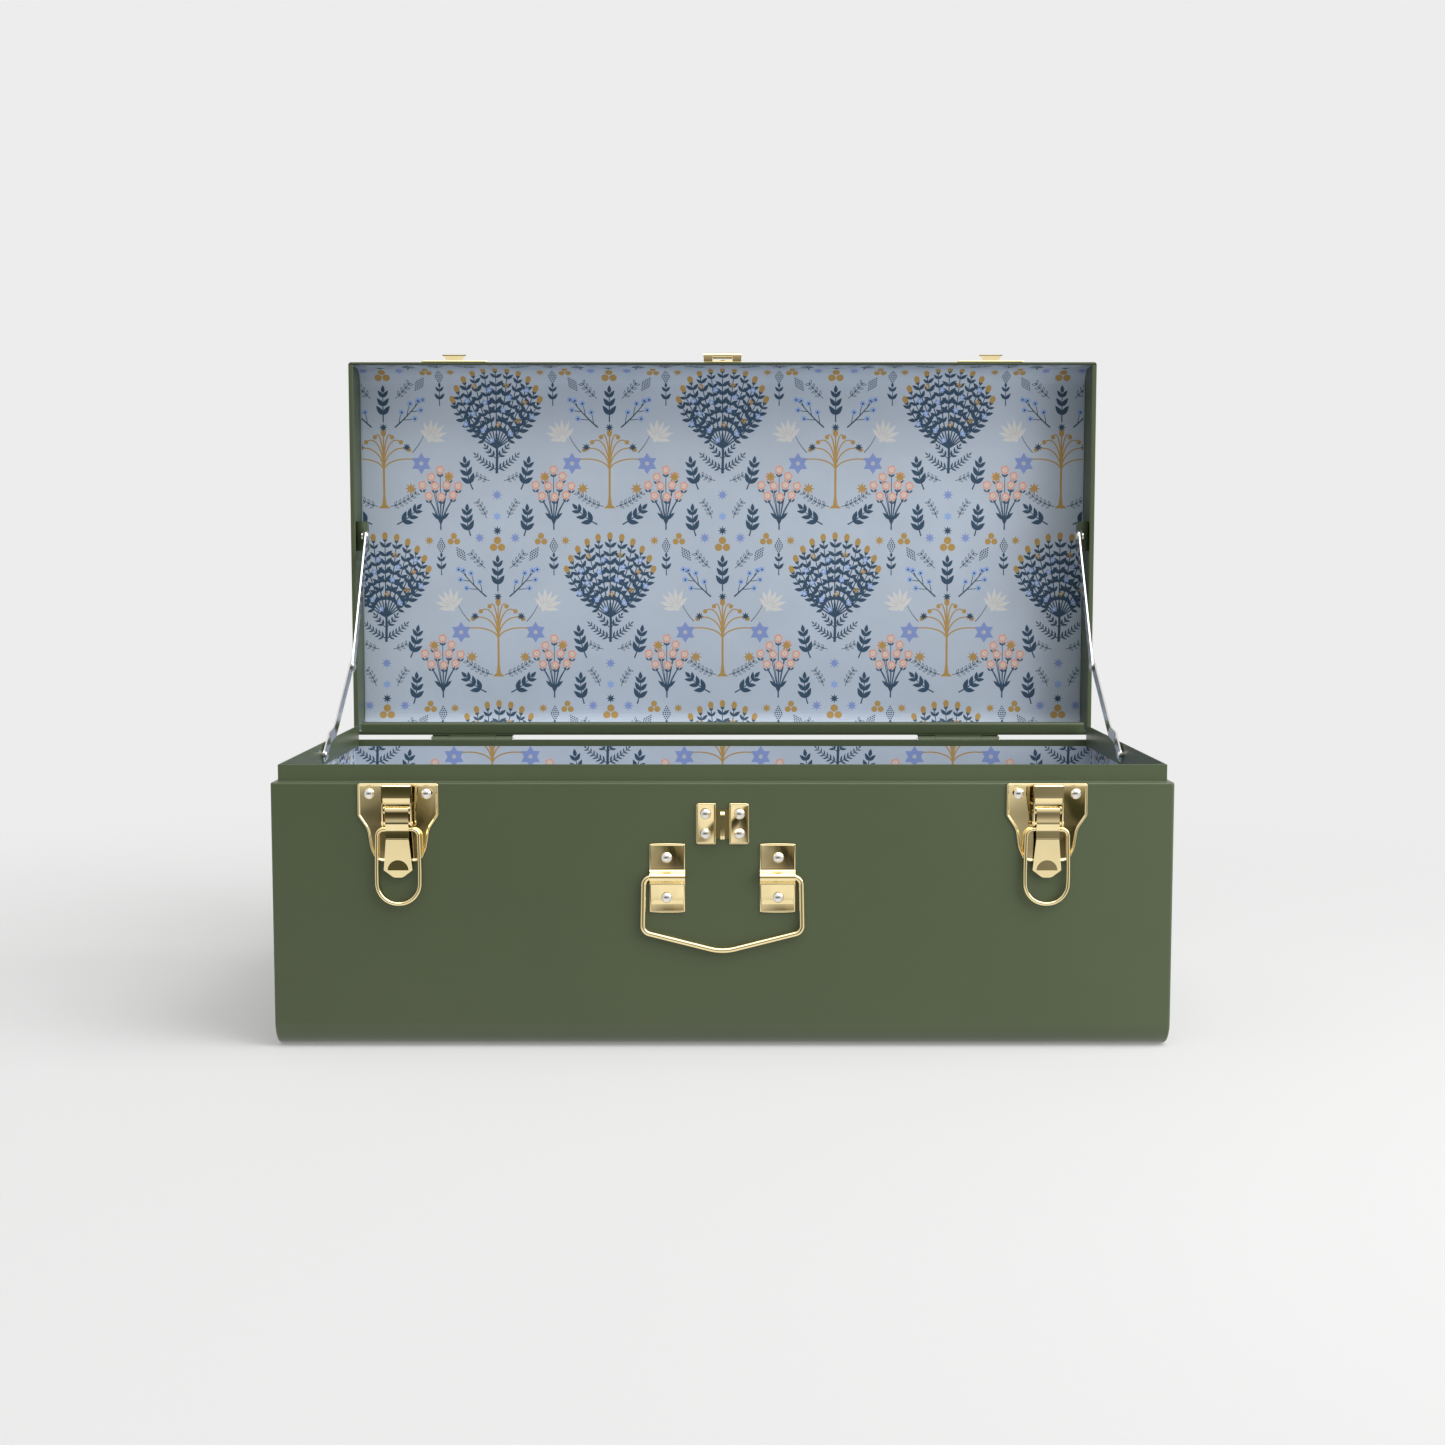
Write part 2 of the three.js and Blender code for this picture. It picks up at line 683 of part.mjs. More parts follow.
// A strip with round ends from one pivot to beyond another, with pivot holes
function strip(from, to, overrun, x0, x1, cutFrom = 0) {
  const length = Math.hypot(to[0] - from[0], to[1] - from[1]);
  const turn = Math.atan2(to[1] - from[1], to[0] - from[0]);
  const half = STAY_WIDTH / 2;
  const place = ([a, b]) => [
    from[0] + a * Math.cos(turn) - b * Math.sin(turn),
    from[1] + a * Math.sin(turn) + b * Math.cos(turn),
  ];
  const start = cutFrom
    ? [
        [cutFrom, half],
        [cutFrom, -half],
      ]
    : arc(0, 0, half, 90, 270, 8);
  const outline = [...start, ...arc(length + overrun, 0, half, -90, 90, 8)].map(place);
  const holes = [circle(length, 0, PIVOT_HOLE, 12).map(place)];
  if (!cutFrom) holes.push(circle(0, 0, PIVOT_HOLE, 12).map(place));
  return alongX(outline, x0, x1, holes);
}

// The foot of the lower link steps outward, so it lies close to the valance
function lowerLink(sign, elbow) {
  const [by, bz] = STAY_BASE_PIVOT;
  const turn = Math.atan2(elbow[1] - bz, elbow[0] - by);
  const bend = 36;
  const at = (distance) => [by + distance * Math.cos(turn), bz + distance * Math.sin(turn)];
  const main = spanX(sign, STAY_LOWER_X, STAY_LOWER_X + STAY_SHEET);
  const stepped = STAY_LOWER_X + STAY_JOGGLE;
  const foot = spanX(sign, stepped, stepped + STAY_SHEET);
  const between = spanX(sign, STAY_LOWER_X, stepped + STAY_SHEET);
  const half = STAY_WIDTH / 2;
  const place = ([a, b]) => {
    const [y, z] = at(a);
    return [y - b * Math.sin(turn), z + b * Math.cos(turn)];
  };
  const block = rectangle(bend - 1, -half, bend + 1, half).map(place);
  const footOutline = [
    ...arc(0, 0, half, 90, 270, 8),
    [bend + 1, -half],
    [bend + 1, half],
  ].map(place);
  return joined(
    strip(STAY_BASE_PIVOT, elbow, STAY_OVERRUN, ...main, bend - 1),
    alongX(block, ...between),
    alongX(footOutline, ...foot, [circle(0, 0, PIVOT_HOLE, 12).map(place)]),
  );
}

// A round-cornered channel on the lid's side wall carries the upper link on a tab
function stayBracket(sign) {
  const [ly, lz] = STAY_LID_PIVOT;
  const shutY = HINGE_Y - (lz - HINGE_Z);
  const shutZ = HINGE_Z + (ly - HINGE_Y);
  const wall = SIDE - SHEET - GAP;
  const tabIn = STAY_LOWER_X + 0.2;
  const bottom = VALANCE_TOP + 1.6;
  const bend = 5.5;
  const line = (inset, wallTop, tabTop) => [
    [wall - inset, wallTop],
    ...arc(wall - bend, bottom + bend, bend - inset, 0, -90, 5),
    ...arc(tabIn + bend, bottom + bend, bend - inset, -90, -180, 5),
    [tabIn + inset, tabTop],
  ];
  const section = [...line(0, 284, 276), ...line(PLATE, 284, 276).reverse()];
  const channel = onFront(
    section.map(([x, z]) => [sign * x, z]),
    FRONT - shutY - BRACKET_LENGTH / 2,
    FRONT - shutY + BRACKET_LENGTH / 2,
  );
  const half = 7.5;
  const tab = [
    ...arc(shutY, shutZ, half, 180, 360, 8),
    [shutY + half, bottom + 12],
    [shutY - half, bottom + 12],
  ];
  const hole = circle(shutY, shutZ, PIVOT_HOLE, 12);
  return joined(channel, alongX(tab, ...spanX(sign, tabIn, tabIn + PLATE), [hole]));
}

// A rivet through a link: a head on the inner side, a shank, and a washer that holds it off
function pivotRivet(sign, y, z, headX, shankTo, washerFrom) {
  const profile = [
    [0, 0],
    [RIVET_RADIUS * 0.6, 0.3],
    [RIVET_RADIUS, 1.6],
    [RIVET_RADIUS, 2.2],
    [PIVOT_SHANK, 2.2],
    [PIVOT_SHANK, washerFrom - headX + 2.2],
    [RIVET_RADIUS * 0.95, washerFrom - headX + 2.2],
    [RIVET_RADIUS * 0.95, shankTo - headX + 2.2],
    [0, shankTo - headX + 2.2],
  ];
  const towards = new THREE.Vector3(sign, 0, 0);
  return turned(profile, [sign * (headX - 2.2), y, z], towards, 14);
}

function addStays() {
  const elbow = elbowPoint();
  const [by, bz] = STAY_BASE_PIVOT;
  const [ly, lz] = STAY_LID_PIVOT;
  const valanceFace = SIDE - VALANCE_INSET - VALANCE_SHEET - GAP;
  const footIn = STAY_LOWER_X + STAY_JOGGLE;
  const tabOut = STAY_LOWER_X + 0.2 + PLATE;
  for (const [side, sign] of SIDES) {
    add(base, `stay_lower_${side}`, lowerLink(sign, elbow), NICKEL);
    const upperX = spanX(sign, STAY_UPPER_X, STAY_UPPER_X + STAY_SHEET);
    add(footlocker, `stay_upper_${side}`, strip(STAY_LID_PIVOT, elbow, 0, ...upperX), NICKEL);
    add(lid, `stay_bracket_${side}`, stayBracket(sign), PAINT);
    const foot = pivotRivet(sign, by, bz, footIn - GAP, valanceFace, footIn + STAY_SHEET + GAP);
    add(base, `stay_base_rivet_${side}`, foot, NICKEL);
    const head = pivotRivet(sign, ly, lz, STAY_UPPER_X - GAP, tabOut + 2, tabOut + GAP);
    add(footlocker, `stay_lid_rivet_${side}`, head, NICKEL);
  }
}

addBaseShell();
addValance();
addLidShell();
addHinges();
addLatches();
addStapleAndHasp();
addHandle();
addStays();

export default footlocker;
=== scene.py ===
"""Steel footlocker with its lid standing open on two folding stays: painted shells, brass
drawbolts and handle, nickel rivets and a printed paper lining. Everything is in metres."""

import json
import math
import random

import bpy
import numpy as np
from mathutils import Matrix, Vector
from mathutils.geometry import delaunay_2d_cdt, tessellate_polygon


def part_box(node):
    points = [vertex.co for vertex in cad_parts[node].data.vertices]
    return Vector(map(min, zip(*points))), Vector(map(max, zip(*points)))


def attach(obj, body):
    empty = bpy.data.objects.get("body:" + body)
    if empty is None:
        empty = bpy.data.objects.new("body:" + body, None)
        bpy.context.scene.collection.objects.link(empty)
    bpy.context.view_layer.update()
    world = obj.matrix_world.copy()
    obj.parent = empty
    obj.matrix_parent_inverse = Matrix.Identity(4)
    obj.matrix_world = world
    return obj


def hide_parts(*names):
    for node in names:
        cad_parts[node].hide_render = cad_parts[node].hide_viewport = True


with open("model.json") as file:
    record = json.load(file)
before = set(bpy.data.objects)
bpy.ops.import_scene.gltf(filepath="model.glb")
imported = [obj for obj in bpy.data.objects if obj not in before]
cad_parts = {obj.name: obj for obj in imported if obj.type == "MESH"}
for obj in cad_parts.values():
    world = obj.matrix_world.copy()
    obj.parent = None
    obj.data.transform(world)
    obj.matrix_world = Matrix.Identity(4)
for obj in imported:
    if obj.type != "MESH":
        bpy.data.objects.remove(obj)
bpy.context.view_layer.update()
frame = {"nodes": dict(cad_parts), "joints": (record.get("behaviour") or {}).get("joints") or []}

MM = 0.001

# ---- places, read from the frame ----

JOINTS = {joint["name"]: joint for joint in frame["joints"]}
HALF_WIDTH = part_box("base_end_right")[1].x
HALF_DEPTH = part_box("base_end_right")[1].y
FRONT = -HALF_DEPTH
STEP_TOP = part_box("base_wrap")[1].z
VALANCE_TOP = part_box("valance_front")[1].z
VALANCE_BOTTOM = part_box("valance_front")[0].z
HINGE_Y, HINGE_Z = JOINTS["lid_hinge"]["pos_m"][1:]
LID_OPEN_LOW, LID_OPEN_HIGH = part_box("lid_end_right")
LID_RIM = HINGE_Z + LID_OPEN_LOW.y - HINGE_Y
LID_TOP = HINGE_Z + LID_OPEN_HIGH.y - HINGE_Y
OPENED = (
    Matrix.Translation((0, HINGE_Y, HINGE_Z))
    @ Matrix.Rotation(-math.pi / 2, 4, "X")
    @ Matrix.Translation((0, -HINGE_Y, -HINGE_Z))
)
SIDES = (("left", -1), ("right", 1))

SHEET = 1.3 * MM
BASE_BEND = 25 * MM
LID_BEND = 22 * MM
END_BEND = 2.8 * MM  # where the wraps turn onto the end panels
VALANCE_INSET = 6 * MM
VALANCE_SHEET = 1.2 * MM
SEAM = STEP_TOP - 3 * MM  # where the shoulder meets the shell


# ---- camera and light ----

CAMERA_PLACE = (0, -1.9935, 0.4538)
CAMERA_TILT = 85.0  # degrees up from straight down
BACKDROP = 0.845  # the grey of the far floor and the backdrop
STAGE_REACH = 14.0
FLOOR_PAINT = 0.480
FLOOR_FILL = 0.225
KEY_POWER = 2.2
TOP_POWER = 1.15
SIDE_POWER = 10.0
GLOSS_POWER = 1.0  # how bright the studio looks in the metal and the paint
ROOM_POWER = 0.45  # how much of it lights the paper, the paint and the floor


# ---- outlines ----


def arc(cu, cv, radius, start, end, steps):
    """Points on a circle from one angle in degrees to another."""
    angles = [math.radians(start + (end - start) * i / steps) for i in range(steps + 1)]
    return [(cu + radius * math.cos(a), cv + radius * math.sin(a)) for a in angles]


def circle(cu, cv, radius, steps=24):
    return arc(cu, cv, radius, 0, 360, steps)[:-1]


def fillet(corners, steps=5, closed=True):
    """An outline from (u, v, radius) corners, each rounded to its radius."""
    points = []
    count = len(corners)
    for i, (u, v, radius) in enumerate(corners):
        p = Vector((u, v))
        if radius <= 0 or (not closed and i in (0, count - 1)):
            points.append((u, v))
            continue
        a = (Vector(corners[i - 1][:2]) - p).normalized()
        b = (Vector(corners[(i + 1) % count][:2]) - p).normalized()
        half = a.angle(b) / 2
        if half > math.pi / 2 - 1e-4:
            points.append((u, v))
            continue
        centre = p + (a + b).normalized() * radius / math.sin(half)
        begin = p + a * radius / math.tan(half) - centre
        finish = p + b * radius / math.tan(half) - centre
        from_angle = math.atan2(begin.y, begin.x)
        turn = math.atan2(begin.cross(finish), begin.dot(finish))
        for k in range(steps + 1):
            angle = from_angle + turn * k / steps
            points.append((centre.x + radius * math.cos(angle), centre.y + radius * math.sin(angle)))
    return points


def mm(*rows):
    """Rows of millimetres as points in metres."""
    return [tuple(value * MM for value in row) for row in rows]


def panel(us, vs, radii, steps=5):
    """A four-cornered outline, with its corner radii in mm the way round from the first."""
    corners = ((us[0], vs[0]), (us[1], vs[0]), (us[1], vs[1]), (us[0], vs[1]))
    return fillet([(u, v, radius * MM) for (u, v), radius in zip(corners, radii)], steps)


def two_ended(end):
    """The profile of a pin from the (radius, reach) points of one of its ends, in mm."""
    return mm(*[(radius, -reach) for radius, reach in reversed(end)], *end)


def rod(radius, reach):
    return two_ended([(radius, reach), (0, reach)])


def mirrored(half):
    """A closed outline from its right half, listed from bottom to top."""
    return half + [(-u, v, *rest) for u, v, *rest in reversed(half)]


def grown(outline, amount):
    """A closed anticlockwise outline moved outward, or inward for a negative amount."""
    count = len(outline)
    moved = []
    for i in range(count):
        a, p, b = (Vector(outline[(i + k) % count]) for k in (-1, 0, 1))
        first, second = (p - a).normalized(), (b - p).normalized()
        bisector = Vector((first.y + second.y, -first.x - second.x)).normalized()
        stretch = max(0.4, bisector.dot(Vector((second.y, -second.x))))
        moved.append(tuple(p + bisector * amount / stretch))
    return moved


def anticlockwise(outline):
    area = sum(
        a[0] * b[1] - b[0] * a[1] for a, b in zip(outline, outline[1:] + outline[:1])
    )
    return outline if area > 0 else outline[::-1]


# ---- where an outline is drawn ----


def on_front(x=0.0):
    """(across, up, out) on the front face."""
    return lambda u, v, w: Vector((x + u, FRONT - w, v))


def along_width(x=0.0):
    """(out of the front face, up, along the width)."""
    return lambda u, v, w: Vector((x + w, FRONT - u, v))


def in_side_plane(u, v, w):
    """(depth, up, along the width)."""
    return Vector((w, u, v))


# ---- solids ----


class Solid:
    """The vertices and faces of one piece, gathered from its parts."""

    def __init__(self):
        self.verts = []
        self.faces = []

    def add(self, verts, faces):
        start = len(self.verts)
        self.verts += [Vector(v) for v in verts]
        self.faces += [tuple(start + i for i in face) for face in faces]
        return self

    def prism(self, outline, place, w0, w1, holes=()):
        """An outline with holes, run from w0 to w1."""
        loops = [anticlockwise(outline)] + [anticlockwise(hole)[::-1] for hole in holes]
        points = [p for loop in loops for p in loop]
        count = len(points)
        verts = [place(u, v, w) for w in (w0, w1) for u, v in points]
        if holes:
            caps = tessellate_polygon([[Vector((u, v, 0)) for u, v in loop] for loop in loops])
            caps = [
                t if triangle_area(points, t) > 0 else t[::-1] for t in (tuple(c) for c in caps)
            ]
        else:
            caps = [tuple(range(count))]
        faces = [tuple(reversed(c)) for c in caps] + [tuple(i + count for i in c) for c in caps]
        start = 0
        for loop in loops:
            size = len(loop)
            for i in range(size):
                a, b = start + i, start + (i + 1) % size
                faces.append((a, b, b + count, a + count))
            start += size
        return self.add(verts, faces)

    def pressed(self, outline, rings, place):
        """A plate with a formed edge: (inset, height) rings from its back edge to its face."""
        outline = anticlockwise(outline)
        count = len(outline)
        verts = []
        for inset, height in rings:
            verts += [place(u, v, height) for u, v in grown(outline, -inset)]
        faces = [tuple(reversed(range(count)))]
        for r in range(len(rings) - 1):
            for i in range(count):
                a, b = r * count + i, r * count + (i + 1) % count
                faces.append((a, b, b + count, a + count))
        faces.append(tuple(range((len(rings) - 1) * count, len(rings) * count)))
        return self.add(verts, faces)

    def rings(self, loops, closed=False, capped=True):
        """A skin through loops of points that all have the same count."""
        count = len(loops[0])
        faces = []
        for r in range(len(loops) if closed else len(loops) - 1):
            low, high = r * count, ((r + 1) % len(loops)) * count
            for i in range(count):
                j = (i + 1) % count
                faces.append((low + i, low + j, high + j, high + i))
        if capped and not closed:
            faces.append(tuple(reversed(range(count))))
            faces.append(tuple(range((len(loops) - 1) * count, len(loops) * count)))
        return self.add([p for loop in loops for p in loop], faces)

    def wire(self, path, radius, closed=False, sides=20):
        """A round wire along a path that lies in a plane square to the depth."""
        path = [Vector(p) for p in path]
        count = len(path)
        loops = []
        for i, p in enumerate(path):
            before = path[(i - 1) % count] if closed or i else p
            after = path[(i + 1) % count] if closed or i < count - 1 else p
            along = (after - before).normalized()
            side = Vector((0, 1, 0)).cross(along).normalized()
            loops.append([
                p + side * radius * math.cos(a) + Vector((0, 1, 0)) * radius * math.sin(a)
                for a in (2 * math.pi * s / sides for s in range(sides))
            ])
        return self.rings(loops, closed)

    def turned(self, profile, centre, axis, sides=32):
        """A turned piece from (radius, height) points, whose first and last lie on the axis."""
        turn = Vector((0, 0, 1)).rotation_difference(Vector(axis))
        loops = []
        for radius, height in profile[1:-1]:
            loops.append([
                Vector(centre) + turn @ Vector((radius * math.cos(a), radius * math.sin(a), height))
                for a in (2 * math.pi * s / sides for s in range(sides))
            ])
        count = len(loops)
        start = len(self.verts)
        self.rings(loops, capped=False)
        tips = [Vector(centre) + turn @ Vector((0, 0, h)) for _, h in (profile[0], profile[-1])]
        low, high = len(self.verts), len(self.verts) + 1
        self.verts += tips
        last = start + (count - 1) * sides
        for s in range(sides):
            t = (s + 1) % sides
            self.faces.append((low, start + t, start + s))
            self.faces.append((high, last + s, last + t))
        return self

    def moved(self, matrix):
        self.verts = [matrix @ v for v in self.verts]
        return self


def triangle_area(points, triangle):
    """Twice the area, negative for a clockwise triangle."""
    (ax, ay), (bx, by), (cx, cy) = (points[i] for i in triangle)
    return (bx - ax) * (cy - ay) - (by - ay) * (cx - ax)


def make_piece(name, solid, material, body, replaced=(), edge=0.0, sharp=32, segments=3):
    """Makes the piece, softens its edges, sets what it rides on, and hides the parts it stands for.
    """
    mesh = bpy.data.meshes.new(name)
    mesh.from_pydata([tuple(v) for v in solid.verts], [], solid.faces)
    mesh.validate()
    mesh.materials.append(material)
    piece = bpy.data.objects.new(name, mesh)
    bpy.context.scene.collection.objects.link(piece)
    mesh.polygons.foreach_set("use_smooth", [True] * len(mesh.polygons))
    if edge:
        soft = piece.modifiers.new("softened_edges", "BEVEL")
        soft.width = edge
        soft.segments = segments
        soft.limit_method = "ANGLE"
        soft.angle_limit = math.radians(sharp)
        soft.harden_normals = True
    else:
        mesh.set_sharp_from_angle(angle=math.radians(sharp))
    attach(piece, body)
    if replaced:
        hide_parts(*replaced)
    return piece


# ---- materials ----


class Nodes:
    """A short way to place nodes in a tree and link them."""

    def __init__(self, tree):
        self.tree = tree

    def new(self, kind, values=None, **settings):
        node = self.tree.nodes.new(kind)
        for key, value in settings.items():
            setattr(node, key, value)
        for key, value in (values or {}).items():
            if isinstance(value, bpy.types.NodeSocket):
                self.tree.links.new(value, node.inputs[key])
            else:
                node.inputs[key].default_value = value
        return node

    def math(self, operation, *values, clamp=False):
        settings = {"operation": operation, "use_clamp": clamp}
        return self.new("ShaderNodeMath", dict(enumerate(values)), **settings).outputs[0]

    def mix(self, factor, first, second, blend="MIX"):
        settings = {"data_type": "RGBA", "blend_type": blend}
        values = {0: factor, 6: first, 7: second}  # the node's colour sockets
        return self.new("ShaderNodeMix", values, **settings).outputs[2]

    def noise(self, coords, scale, detail=3.0, roughness=0.5):
        values = {"Vector": coords, "Scale": scale, "Detail": detail, "Roughness": roughness}
        return self.new("ShaderNodeTexNoise", values).outputs["Fac"]

    def ramp(self, factor, low, high):
        values = {"Value": factor, "From Min": low, "From Max": high}
        return self.new("ShaderNodeMapRange", values).outputs["Result"]


def make_group(name, inputs, outputs):
    """A node group with its named sockets, and its input and output nodes."""
    group = bpy.data.node_groups.new(name, "ShaderNodeTree")
    for socket, kind, value in inputs:
        made = group.interface.new_socket(socket, in_out="INPUT", socket_type=kind)
        made.default_value = value
    for socket, kind in outputs:
        group.interface.new_socket(socket, in_out="OUTPUT", socket_type=kind)
    tree = Nodes(group)
    return tree, tree.new("NodeGroupInput").outputs, tree.new("NodeGroupOutput").inputs


FLOAT, COLOR = "NodeSocketFloat", "NodeSocketColor"


def surface_grain_group():
    """Fine grain and wide cloudiness of a finish: a tinted colour, a roughness and a height."""
    tree, given, out = make_group(
        "surface_grain",
        [
            ("Color", COLOR, (0.5, 0.5, 0.5, 1)),
            ("Cloud Tint", COLOR, (0.5, 0.5, 0.5, 1)),
            ("Cloud Scale", FLOAT, 6.0),
            ("Grain Scale", FLOAT, 700.0),
            ("Roughness Low", FLOAT, 0.3),
            ("Roughness High", FLOAT, 0.4),
        ],
        [("Color", COLOR), ("Roughness", FLOAT), ("Height", FLOAT)],
    )
    coords = tree.new("ShaderNodeTexCoord").outputs["Object"]
    cloud = tree.noise(coords, given["Cloud Scale"], 4.0, 0.6)
    grain = tree.noise(coords, given["Grain Scale"], 2.0, 0.5)
    tinted = tree.mix(tree.ramp(cloud, 0.35, 0.65), given["Color"], given["Cloud Tint"])
    spread = tree.math("SUBTRACT", given["Roughness High"], given["Roughness Low"])
    blotch = tree.math("ADD", tree.math("MULTIPLY", cloud, 0.7), tree.math("MULTIPLY", grain, 0.3))
    rough = tree.math("ADD", given["Roughness Low"], tree.math("MULTIPLY", spread, blotch))
    tree.tree.links.new(tinted, out["Color"])
    tree.tree.links.new(rough, out["Roughness"])
    tree.tree.links.new(grain, out["Height"])
    return tree.tree


def finish(name, color, cloud, metallic, low, high, cloud_scale, grain_scale, bump, **plain):
    """A coat or a metal with grain: plain values go straight on the Principled sockets."""
    material = bpy.data.materials.new(name)
    material.use_nodes = True
    tree = Nodes(material.node_tree)
    shader = material.node_tree.nodes["Principled BSDF"]
    grain = tree.new("ShaderNodeGroup", node_tree=GRAIN)
    for socket, value in (
        ("Color", (*color, 1)),
        ("Cloud Tint", (*cloud, 1)),
        ("Cloud Scale", cloud_scale),
        ("Grain Scale", grain_scale),
        ("Roughness Low", low),
        ("Roughness High", high),
    ):
        grain.inputs[socket].default_value = value
    link = material.node_tree.links.new
    link(grain.outputs["Color"], shader.inputs["Base Color"])
    link(grain.outputs["Roughness"], shader.inputs["Roughness"])
    relief = tree.new("ShaderNodeBump", {"Strength": bump, "Distance": 0.0004})
    link(grain.outputs["Height"], relief.inputs["Height"])
    link(relief.outputs["Normal"], shader.inputs["Normal"])
    shader.inputs["Metallic"].default_value = metallic
    for socket, value in plain.items():
        shader.inputs[socket.replace("_", " ")].default_value = value
    return material


GRAIN = surface_grain_group()

GREEN = finish(
    "green_enamel", (0.070, 0.091, 0.044), (0.065, 0.086, 0.041), 0.0, 0.34, 0.42, 5, 900, 0.05
)
BRASS = finish(
    "polished_brass", (0.93, 0.79, 0.46), (0.90, 0.75, 0.42), 1.0, 0.05, 0.10, 40, 1500, 0.02
)
NICKEL = finish(
    "bright_nickel", (0.80, 0.78, 0.76), (0.74, 0.72, 0.70), 1.0, 0.10, 0.20, 30, 1200, 0.04
)

INKS = {
    "ground": (0.50, 0.57, 0.665),
    "navy": (0.030, 0.070, 0.125),
    "gold": (0.46, 0.29, 0.085),
    "peach": (0.72, 0.40, 0.32),
    "periwinkle": (0.24, 0.32, 0.62),
    "sky": (0.30, 0.44, 0.76),
    "cream": (0.70, 0.70, 0.68),
    "dark": (0.012, 0.016, 0.022),
    "blush": (0.78, 0.55, 0.47),
    "mist": (0.50, 0.52, 0.56),
}
PAPERS = {
    ink: finish(
        f"paper_{ink}", tone, tuple(c * 0.94 for c in tone), 0.0, 0.62, 0.74, 14, 1400, 0.12
    )
    for ink, tone in INKS.items()
}
INK_ORDER = list(INKS)


# ---- shells ----


def trough(inset, top, steps=12):
    """(depth, height) line of the base's wrap, from front rim to rear rim."""
    return (
        [(FRONT + inset, top)]
        + arc(FRONT + BASE_BEND, BASE_BEND, BASE_BEND - inset, 180, 270, steps)
        + arc(-FRONT - BASE_BEND, BASE_BEND, BASE_BEND - inset, 270, 360, steps)
        + [(-FRONT - inset, top)]
    )


def canopy(inset, front_rim, rear_rim, steps=12):
    """(depth, height) line of the lid's wrap, drawn shut, from rear rim to front rim."""
    return (
        [(-FRONT - inset, rear_rim)]
        + arc(-FRONT - LID_BEND, LID_TOP - LID_BEND, LID_BEND - inset, 0, 90, steps)
        + arc(FRONT + LID_BEND, LID_TOP - LID_BEND, LID_BEND - inset, 90, 180, steps)
        + [(FRONT + inset, front_rim)]
    )


def shell(line_at):
    """An open box of sheet round the line of the wrap that line_at(inset) gives."""
    steps = 5
    turns = [math.pi / 2 * k / steps for k in range(steps + 1)]
    stations = [
        (-HALF_WIDTH + END_BEND * (1 - math.sin(t)), END_BEND * (1 - math.cos(t)))
        for t in reversed(turns)
    ]
    stations += [(-x, inset) for x, inset in reversed(stations)]
    outer = [[Vector((x, *p)) for p in line_at(inset)] for x, inset in stations]
    flat = HALF_WIDTH - SHEET
    inner = [[Vector((x, *p)) for p in line_at(SHEET)] for x in (-flat, flat)]
    solid = Solid()
    count = len(outer[0])
    verts = [p for loop in outer + inner for p in loop]
    faces = []
    for r in range(len(outer) - 1):
        for i in range(count - 1):
            a, b = r * count + i, (r + 1) * count + i
            faces.append((a, b, b + 1, a + 1))
    first_inner = len(outer) * count
    for i in range(count - 1):
        a, b = first_inner + i, first_inner + count + i
        faces.append((a + 1, b + 1, b, a))
    last = (len(outer) - 1) * count
    faces.append(tuple(range(count)))
    faces.append(tuple(last + i for i in reversed(range(count))))
    faces.append(tuple(first_inner + i for i in reversed(range(count))))
    faces.append(tuple(first_inner + count + i for i in range(count)))
    for end in (0, count - 1):
        rim = [r * count + end for r in range(len(outer))]
        inside = [first_inner + count + end, first_inner + end]
        loop = rim + inside
        faces.append(tuple(loop if end == 0 else reversed(loop)))
    in_first, in_last = first_inner, first_inner + count
    faces.append((0, in_first, in_first + count - 1, count - 1))
    faces.append((last + count - 1, in_last + count - 1, in_last, last))
    return solid.add(verts, faces)


def make_base_shell():
    solid = shell(lambda inset: trough(inset, SEAM))
    rear = fillet(
        [
            (HALF_DEPTH - SHEET - 0.7 * MM, SEAM - 5 * MM, 0),
            (HALF_DEPTH, SEAM, 0),
            (HALF_DEPTH, STEP_TOP, 0.9 * MM),
            (HALF_DEPTH - SHEET - 0.7 * MM, STEP_TOP, 0.9 * MM),
        ]
    )
    run = HALF_WIDTH - 1.2 * MM  # short of the rounded corners
    solid.prism(rear, in_side_plane, -run, run)
    make_piece(
        "base_shell", solid, GREEN, "base",
        ("base_wrap", "base_end_left", "base_end_right"), sharp=40,
    )


def make_valance():
    """The shoulder and the strip above it, run round the front and both sides."""
    inset = VALANCE_INSET
    back = inset + VALANCE_SHEET
    under = STEP_TOP - VALANCE_SHEET
    section = fillet(
        [
            (0, SEAM, 0),
            (0, STEP_TOP, 1.8 * MM),
            (inset, STEP_TOP, 1.1 * MM),
            (inset, VALANCE_TOP, 0.55 * MM),
            (back, VALANCE_TOP, 0.55 * MM),
            (back, VALANCE_BOTTOM, 0.4 * MM),
            (inset, VALANCE_BOTTOM, 0.4 * MM),
            (inset, under, 0),
            (SHEET, under, 0),
            (SHEET, SEAM, 0),
        ]
    )
    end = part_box("valance_right")[1].y - 1.7 * MM  # clear of the lid's paper when it is shut
    loops = []

    def station(place):
        loops.append([place(i, z) for i, z in section])

    turns = 5
    station(lambda i, z: Vector((-HALF_WIDTH + i, end, z)))
    for side, start in ((-1, 180), (1, 270)):
        for k in range(turns + 1):
            angle = math.radians(start + 90 * k / turns)

            def corner(i, z, side=side, angle=angle):
                radius = max(END_BEND - i, 0)
                far = max(i, END_BEND)
                return Vector((
                    side * (HALF_WIDTH - far) + radius * math.cos(angle),
                    FRONT + far + radius * math.sin(angle),
                    z,
                ))

            station(corner)
    station(lambda i, z: Vector((HALF_WIDTH - i, end, z)))
    solid = Solid().rings([loop[::-1] for loop in loops])
    make_piece(
        "valance", solid, GREEN, "base",
        ("valance_front", "valance_left", "valance_right"), sharp=30,
    )


